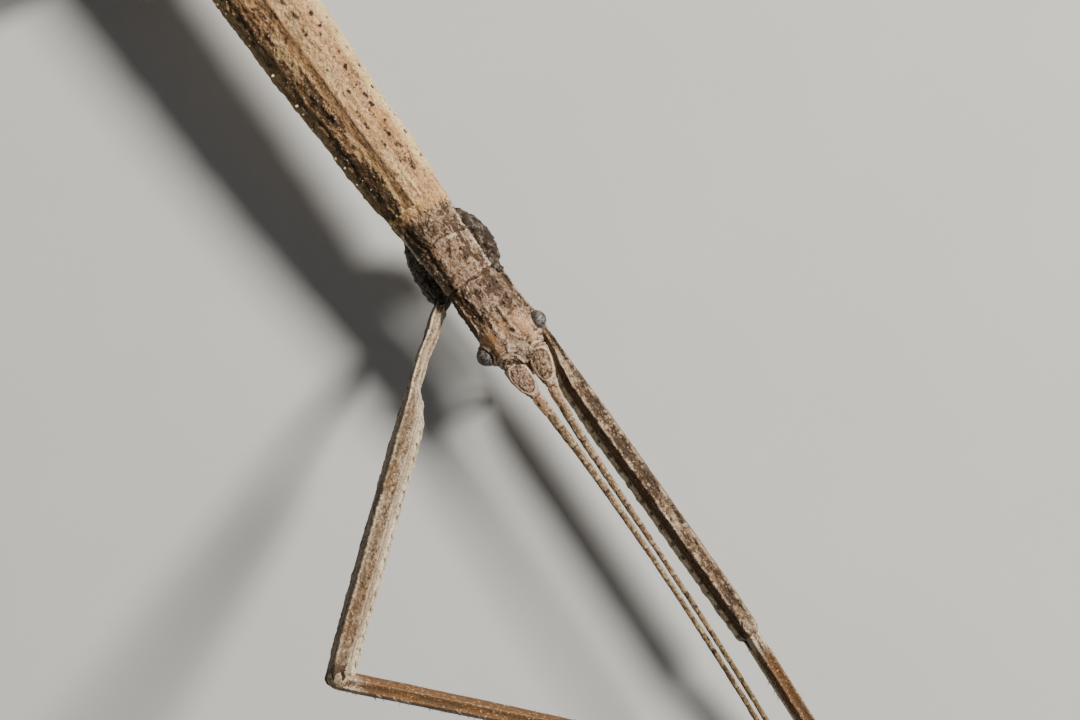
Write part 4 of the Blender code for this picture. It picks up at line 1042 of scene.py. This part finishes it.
def coxa_relief(number, darkness, run, angle, lie):
    """Coarse lumps, with dark spots where darkness is high and pale patches where it's low."""
    wild = partial(fractal, lie)
    spots = rise(wild(0.34, 0.28, 155 + number), -0.2, 0.2)
    pale = 0.40 * rise(wild(0.2, 0.17, 157 + number), 0.15, 0.5) * (1.2 - darkness)
    shift = 0.12 * wild(0.9, 0.7, 151 + number) + 0.11 * wild(0.32, 0.28, 153 + number)
    return shift, pale, darkness - 0.15 + 0.2 * spots, 0.7 * spots * (darkness > 0.7), 0.0, 0.3


def limb(pile, start, end, profile, axes, reach, relief, offset):
    """Adds a femur or tibia with rounded ends; reach is how far each end goes past its point."""
    along, across, up = axes
    length = np.linalg.norm(end - start)
    first, last, close = -reach[0], length + reach[1], np.array([0.02, 0.05, 0.1])
    run = np.sort(np.concatenate([np.linspace(first, last, int(length / 0.11)), first + close, last - close]))
    half, tall, shift = (column[:, None] for column in columns(profile, run / length))
    a, b = (np.broadcast_to(column, (len(run), LIMB_SIDES)) for column in soft_outline().T)
    run = run[:, None] + 0 * a
    blunt = np.sqrt(1 - (1 - np.clip(np.minimum(run - first, last - run) / 0.8, 0, 1)) ** 2 * 0.97)
    half, tall = half * blunt, tall * blunt
    x, y = a * half + shift, b * tall
    points = start + along * run[..., None] + x[..., None] * across + y[..., None] * up
    lie = np.stack([run + offset, x, y], -1)
    raised(pile, points, lie, *relief(run, a, b, half, tall, lie))


def leg_places(name):
    """The points and directions of a leg, worked out as in the solids."""
    side, behind, out, below, femur_ahead, femur_up, tibia_ahead, foot_ahead, roll = LEGS[name]
    pair = name.split("_")[0]
    axis = axis_height(-behind)
    joint = at(-behind, side * out, axis - below)
    back, root_out, root_below = COXA_ROOTS[pair]
    root = at(-behind - back, side * root_out, axis - root_below)
    knee = joint + heading(side, femur_ahead, femur_up) * FEMUR_LENGTHS[pair]
    slope = -math.degrees(math.asin((knee[2] - ANKLE_HEIGHT) / TIBIA_LENGTHS[pair]))
    ankle = knee + heading(side, tibia_ahead, slope) * TIBIA_LENGTHS[pair]
    return side, pair, root, joint, knee, ankle, heading(side, foot_ahead), roll


def foot(pile, heel, along, length, offset):
    """The five-jointed foot, flat on the floor, with a pad under the end of each joint."""
    share = np.linspace(0, 1, int(length / 0.05))
    places, halves, tops = np.array(TARSUS_STATIONS).T
    half, top = np.interp(share, places, halves)[:, None], np.interp(share, places, tops)[:, None]
    low = curve(FOOT_LIFT, share)[:, None] + SOLE_HEIGHT
    share, angle = grid(share, turns(36))
    c, s = signed_power(np.cos(angle), 0.8), signed_power(np.sin(angle), 0.8)
    x, z = half * c, (top + low) / 2 + (top - low) / 2 * s
    sideways = np.array([-along[1], along[0], 0.0])
    points = heel + along * (length * share)[..., None] + sideways * x[..., None] + UP * z[..., None]
    lie = np.stack([share * length + offset, x, z], -1)
    joints = sum(hill(share - joint, 0.012) for joint in TARSUS_JOINTS)
    upper = rise(s, -0.2, 0.3)
    shift = (0.03 * fractal(lie, 0.5, 0.3, 211) - 0.04 * joints) * upper
    dark = 0.25 + 0.2 * fractal(lie, 0.8, 0.4, 213) + 0.5 * joints
    raised(pile, points, lie, shift, 0.3 * (1 - upper), dark, 0.5 * joints, 0.6 * upper, 0.2 * upper)


def build_claws(name, toe, along, skin):
    pile = Pile()
    share = np.linspace(0, 1, 30)[:, None]
    for sign in (1, -1):
        out = turned(along, UP, math.radians(sign * CLAW_SPREAD))
        height = CLAW_HEIGHT + CLAW_ARCH * share * (0.65 - share)
        path = toe + UP * height + out * (0.05 + CLAW_LENGTH * share)
        round_tube(pile, path, CLAW_RADIUS * (1 - 0.86 * share[:, 0] ** 1.6), 20, None, 0.12, tip=1.0)
    path = toe + UP * TOE_PAD_HEIGHT + along * np.linspace(*TOE_PAD_SPAN, 24)[:, None]
    round_tube(pile, path, np.full(24, TOE_PAD_RADIUS), 24, None, 0.3, flatness=0.8)
    pile.object(f"claw_skin_{name}", skin, "claws", (f"claws_{name}",))


def build_leg(number, name, hip_skin, leg_skin, claw_skin):
    side, pair, root, joint, knee, ankle, foot_along, roll = leg_places(name)
    offset = LEG_OFFSET * number
    hip, upper, lower, toes = Pile(), Pile(), Pile(), Pile()
    relief = partial(coxa_relief, number, COXA_DARKNESS.get(name, 0.4))
    share = np.linspace(-COXA_TAPER if pair == "front" else 0, 1, 110)[:, None]
    bow = np.array([side * COXA_BULGES.get(name, 0.0), 0, 0]) * 4 * share * (1 - share)
    radii = curve(COXA_RADII, share[:, 0]) * (1 - 0.5 * rise(-share[:, 0], 0.0, COXA_TAPER))
    round_tube(hip, root + (joint - root) * share + bow, radii, 72, relief, 0.35, offset)
    ring = joint + unit(knee - joint) * np.linspace(-RING_HALF_LENGTH, RING_HALF_LENGTH, 50)[:, None]
    radii = RING_RADIUS + 0.08 * np.sin(np.linspace(0.4, 3.6, 50))
    round_tube(hip, ring, radii, 60, relief, 0.35, offset + 8)

    along, across, up = femur_axes = limb_axes(joint, knee, side, roll)
    relief = partial(femur_relief, name, FEMUR_LENGTHS[pair], 161 + 17 * number)
    profile = FRONT_FEMUR if pair == "front" else OTHER_FEMUR
    limb(upper, joint, knee, profile, femur_axes, FEMUR_REACH, relief, offset + 10)
    if name == "front_left":
        middle = knee + across * KNEE_LOBE_OUT - up * KNEE_LOBE_DOWN
        lobe = middle + along * np.linspace(*KNEE_LOBE_SPAN, 40)[:, None]
        radii = 0.30 - 0.20 * np.linspace(0, 1, 40) ** 1.5
        round_tube(upper, lobe, radii, 30, partial(plain_relief, 261, 0.9, 0.03), 0.12, offset + 52)
    else:
        cap, radii = knee + along * np.linspace(*KNEE_CAP_SPAN, 40)[:, None], np.full(40, KNEE_CAP)
        cap_relief = partial(plain_relief, 271 + number, 0.6, 0.02)
        round_tube(upper, cap, radii, 60, cap_relief, 0.8, offset + 50, 0.98)
    relief = partial(tibia_relief, name, TIBIA_LENGTHS[pair], 171 + 17 * number)
    limb(lower, knee, ankle, TIBIA, limb_axes(knee, ankle, side, roll), TIBIA_REACH, relief, offset + 55)

    heel = ankle * (1, 1, 0) + foot_along * HEEL_GAP
    length = TARSUS_LENGTHS[pair]
    foot(toes, heel - foot_along * HEEL_LAP, foot_along, length + HEEL_LAP, offset + 96)
    for part, pile, skin in (("coxa", hip, hip_skin), ("femur", upper, leg_skin), ("tibia", lower, leg_skin),
                             ("tarsus", toes, leg_skin)):
        pile.dress(part, name, skin, "cuticle_legs")
    build_claws(name, heel + foot_along * (length + 0.1), foot_along, claw_skin)


# ---- tail ----------------------------------------------------------------------------------------
OPERCULUM_LENGTH = 13.5
OPERCULUM_START = 141.5
OPERCULUM_SECTIONS = ((0.0, 1.7, 0.7), (0.25, 1.75, 1.0), (0.65, 1.3, 0.95), (0.9, 0.7, 0.6), (1.0, 0.3, 0.3))
CERCUS_LENGTH, CERCUS_RADIUS = 2.0, 0.4
CERCUS_OUT, CERCUS_BELOW, CERCUS_HEADING = 0.8, 0.1, (168, -6)


def build_tail(body_skin):
    share, angle = grid(np.linspace(0.01, 0.995, 130), turns(72))
    f, s = -OPERCULUM_START - OPERCULUM_LENGTH * share, np.sin(angle)
    half, depth = columns(OPERCULUM_SECTIONS, share)
    l = (half - 0.04) * np.cos(angle)
    height = axis_height(f) - curve(BODY_BOTTOM, -f) + 0.2 + np.where(s > 0, 0.6, depth) * s
    lie = np.stack([f, l, height], -1)
    shift = 0.03 * fractal(lie, 1.2, 0.6, 231) + 0.05 * hill(l, 0.10) * (s < 0)
    dark = 0.34 + 0.2 * fractal(lie, 1.5, 0.8, 233)
    lid = Pile()
    raised(lid, at(f, l, height), lie, shift, 0.4 * hill(l, 0.1), dark, 0.0, 0.2, 0.2)
    lid.object("operculum_skin", body_skin, "cuticle_body", ("operculum",))
    behind = PROTHORAX_LENGTH + MESOTHORAX_LENGTH + METATHORAX_LENGTH + sum(ABDOMEN_LENGTHS) + 0.1
    for number, (word, side) in enumerate(SIDES_OF_BODY):
        pile = Pile()
        share = np.linspace(-0.1, 1.0, 60)[:, None]
        root = at(-behind, side * CERCUS_OUT, axis_height(-behind) - CERCUS_BELOW)
        path = root + heading(side, *CERCUS_HEADING) * CERCUS_LENGTH * share
        radii = CERCUS_RADIUS * (1 - 0.35 * np.clip(share[:, 0], 0, 1) ** 2)
        relief = partial(plain_relief, 241 + number, 0.3, 0.02)
        round_tube(pile, path, radii, 40, relief, 0.4, 170 + 5 * number, 0.9)
        pile.dress("cercus", word, body_skin, "cuticle_body")


# ---- grains and bristles -------------------------------------------------------------------------
PATCH = 0.0015  # half the size of the spot of the bake map that a grain or bristle takes


def spike(pile, root, direction, radius, length, spot, pale=0.0, bluntness=0.6, sides=8):
    """A small cone with a rounded tip; spot is its root's place on the unwrapped skin."""
    direction = unit(direction)
    across = unit(np.cross(direction, (0.37, 0.61, 0.7)))
    c, s = np.cos(turns(sides))[:, None], np.sin(turns(sides))[:, None]
    around = c * across + s * np.cross(direction, across)
    heights, widths = (-0.35, 0.15, 0.6, 0.9), (1.15, 1.0, 0.35 + 0.5 * bluntness, 0.12 + 0.45 * bluntness)
    rings = [root + direction * length * h + around * radius * w for h, w in zip(heights, widths)]
    after = [(j + 1) % sides for j in range(sides)]
    faces = [tuple(range(sides))[::-1]]
    for k in range(3):
        low, high = k * sides, (k + 1) * sides
        faces += [(low + j, low + after[j], high + after[j], high + j) for j in range(sides)]
    faces += [(3 * sides + j, 3 * sides + after[j], 4 * sides) for j in range(sides)]
    tip = np.append(np.repeat(np.clip(heights, 0, 1), sides), 1.0)
    bake = np.concatenate([np.tile(spot + PATCH * np.hstack([c, s]), (4, 1)), [spot]])
    points = np.concatenate(rings + [[root + direction * length]])
    pile.add(points, faces, tip=tip, pale=np.full(len(points), float(pale)), OFBake=bake)


def on_trunk(f, reach, side):
    """A point on the back at a share of its half width, its outward direction and its spot for baking."""
    theta = math.acos(min(abs(reach), 1.0) ** (1 / BOXINESS))
    if side < 0:
        theta = math.pi - theta
    outline = head_section if f > 0 else trunk_section

    def point(forward, angle):
        return at(forward, *outline(forward, angle))

    centre = point(f, theta)
    direction = np.cross(point(f + 0.05, theta) - centre, point(f, theta + 0.01) - centre)
    return centre, unit(direction * math.copysign(1, direction[2])), (0.5 + f / 330, theta / FULL_TURN)


def build_grains():
    """The tips of the grains along the back, and pale points along the edges and on the first plates."""
    draw = np.random.default_rng(37)
    pile = Pile()
    for f, l, size, pale in GRAINS:
        centre, direction, spot = on_trunk(f, l / curve(BODY_HALF_WIDTH, -f), 1 if l > 0 else -1)
        lean = direction + np.array([draw.uniform(-0.5, 0.5), draw.uniform(-0.8, 0.2), 0.1])
        width, length = size * draw.uniform(0.4, 0.6), size * draw.uniform(0.6, 1.0)
        spike(pile, centre + direction * size * 0.3, lean, width, length, spot, pale)
    for side, spacing, pale, lift in ((1, 1.3, 0.8, -0.1), (-1, 2.2, 1.0, 0.5)):
        f = -9.0
        while f > -60:
            f -= spacing * draw.uniform(0.4, 1.7)
            centre, direction, spot = on_trunk(f, draw.uniform(0.90, 0.97), side)
            size = draw.uniform(0.12, 0.21)
            spike(pile, centre, direction + UP * lift, size, size * 1.9, spot, pale)
    # side, share of the half width, how many, from which F to which
    for side, reach, count, low, high in ((1, 0.88, 8, -7.2, -0.8), (1, 0.45, 3, -4.0, -1.2),
                                          (-1, 0.84, 4, -3.6, -0.4), (1, 0.78, 3, 1.2, 4.6),
                                          (1, 0.5, 3, 0.8, 3.6), (-1, 0.85, 3, 0.8, 5.0)):
        pale, *sizes = (0.1, 0.09, 0.17) if side > 0 else (0.7, 0.06, 0.11)
        for k in range(count):
            f = low + (high - low) * (k + draw.uniform(0.2, 0.8)) / count
            centre, direction, spot = on_trunk(f, reach + draw.uniform(-0.06, 0.06), side)
            size = draw.uniform(*sizes)
            spike(pile, centre, direction + np.array([0, -0.4, 0]), size, size * 1.1, spot, pale, 0.8)
    pile.object("back_grains", grain_material(), "cuticle_body")


def build_bristles():
    """Fine short hairs that lean along the tibiae and the tips of the femora."""
    draw = np.random.default_rng(47)
    pile = Pile()
    for number, name in enumerate(LEGS):
        side, pair, _, joint, knee, ankle, _, roll = leg_places(name)
        femur = FRONT_FEMUR if pair == "front" else OTHER_FEMUR
        for start, end, profile, first, last, step, grown in ((knee, ankle, TIBIA, 0.01, 0.97, 0.36, 1.0),
                                                              (joint, knee, femur, 0.86, 0.99, 0.5, 0.75)):
            along, across, up = limb_axes(start, end, side, roll)
            length = np.linalg.norm(end - start)
            run = first * length
            while run < last * length:
                run += step * draw.uniform(0.6, 1.4)
                half, tall, _ = columns(profile, run / length)
                a, b = (OUTER, (-0.9, 0.0), LOW_OUTER, LOW_INNER, INNER)[draw.integers(5)]
                centre = start + along * run + across * (a * half) + up * (b * tall)
                lean = across * a * 0.9 + up * b * 0.8 + along * draw.uniform(0.6, 1.3)
                spot = (0.05 + 0.15 * number + 0.1 * run / length, 0.3 + 0.1 * a)
                spike(pile, centre, lean, 0.036, draw.uniform(0.32, 0.6) * grown, spot, 0.0, 0.1, 5)
    pile.object("leg_bristles", bristle_material(), "cuticle_legs")


# ---- the whole animal ----------------------------------------------------------------------------
# name, then the colours ground, light, brown, pale and warm, and how strong its mottling is
SKINS = (
    ("body_skin", (0.53, 0.275, 0.135), (0.83, 0.465, 0.245), (0.130, 0.062, 0.032), (0.86, 0.65, 0.29),
     (0.52, 0.25, 0.098), 1.1, ((0.46, 0.295, 0.195), (0.66, 0.465, 0.335), (0.82, 0.66, 0.48))),
    ("hip_skin", (0.085, 0.081, 0.070), (0.160, 0.154, 0.132), (0.028, 0.024, 0.019), (0.37, 0.355, 0.31),
     (0.24, 0.17, 0.11), 1.2),
    ("leg_skin", (0.33, 0.212, 0.122), (0.51, 0.355, 0.222), (0.095, 0.046, 0.020), (0.80, 0.68, 0.48),
     (0.150, 0.050, 0.002), 1.1),
    ("feeler_skin", (0.25, 0.155, 0.083), (0.40, 0.27, 0.155), (0.085, 0.044, 0.019), (0.66, 0.52, 0.33),
     (0.15, 0.090, 0.022), 1.1),
)


def main():
    add_camera()
    add_surroundings()
    body_skin, hip_skin, leg_skin, feeler_skin = (skin_material(*row) for row in SKINS)
    for build in (build_trunk, build_mouth, build_tail, build_eyes):
        build(body_skin)
    build_feelers(body_skin, feeler_skin)
    claw_skin = claw_material()
    for number, name in enumerate(LEGS):
        build_leg(number, name, hip_skin, leg_skin, claw_skin)
    build_grains()
    build_bristles()


main()
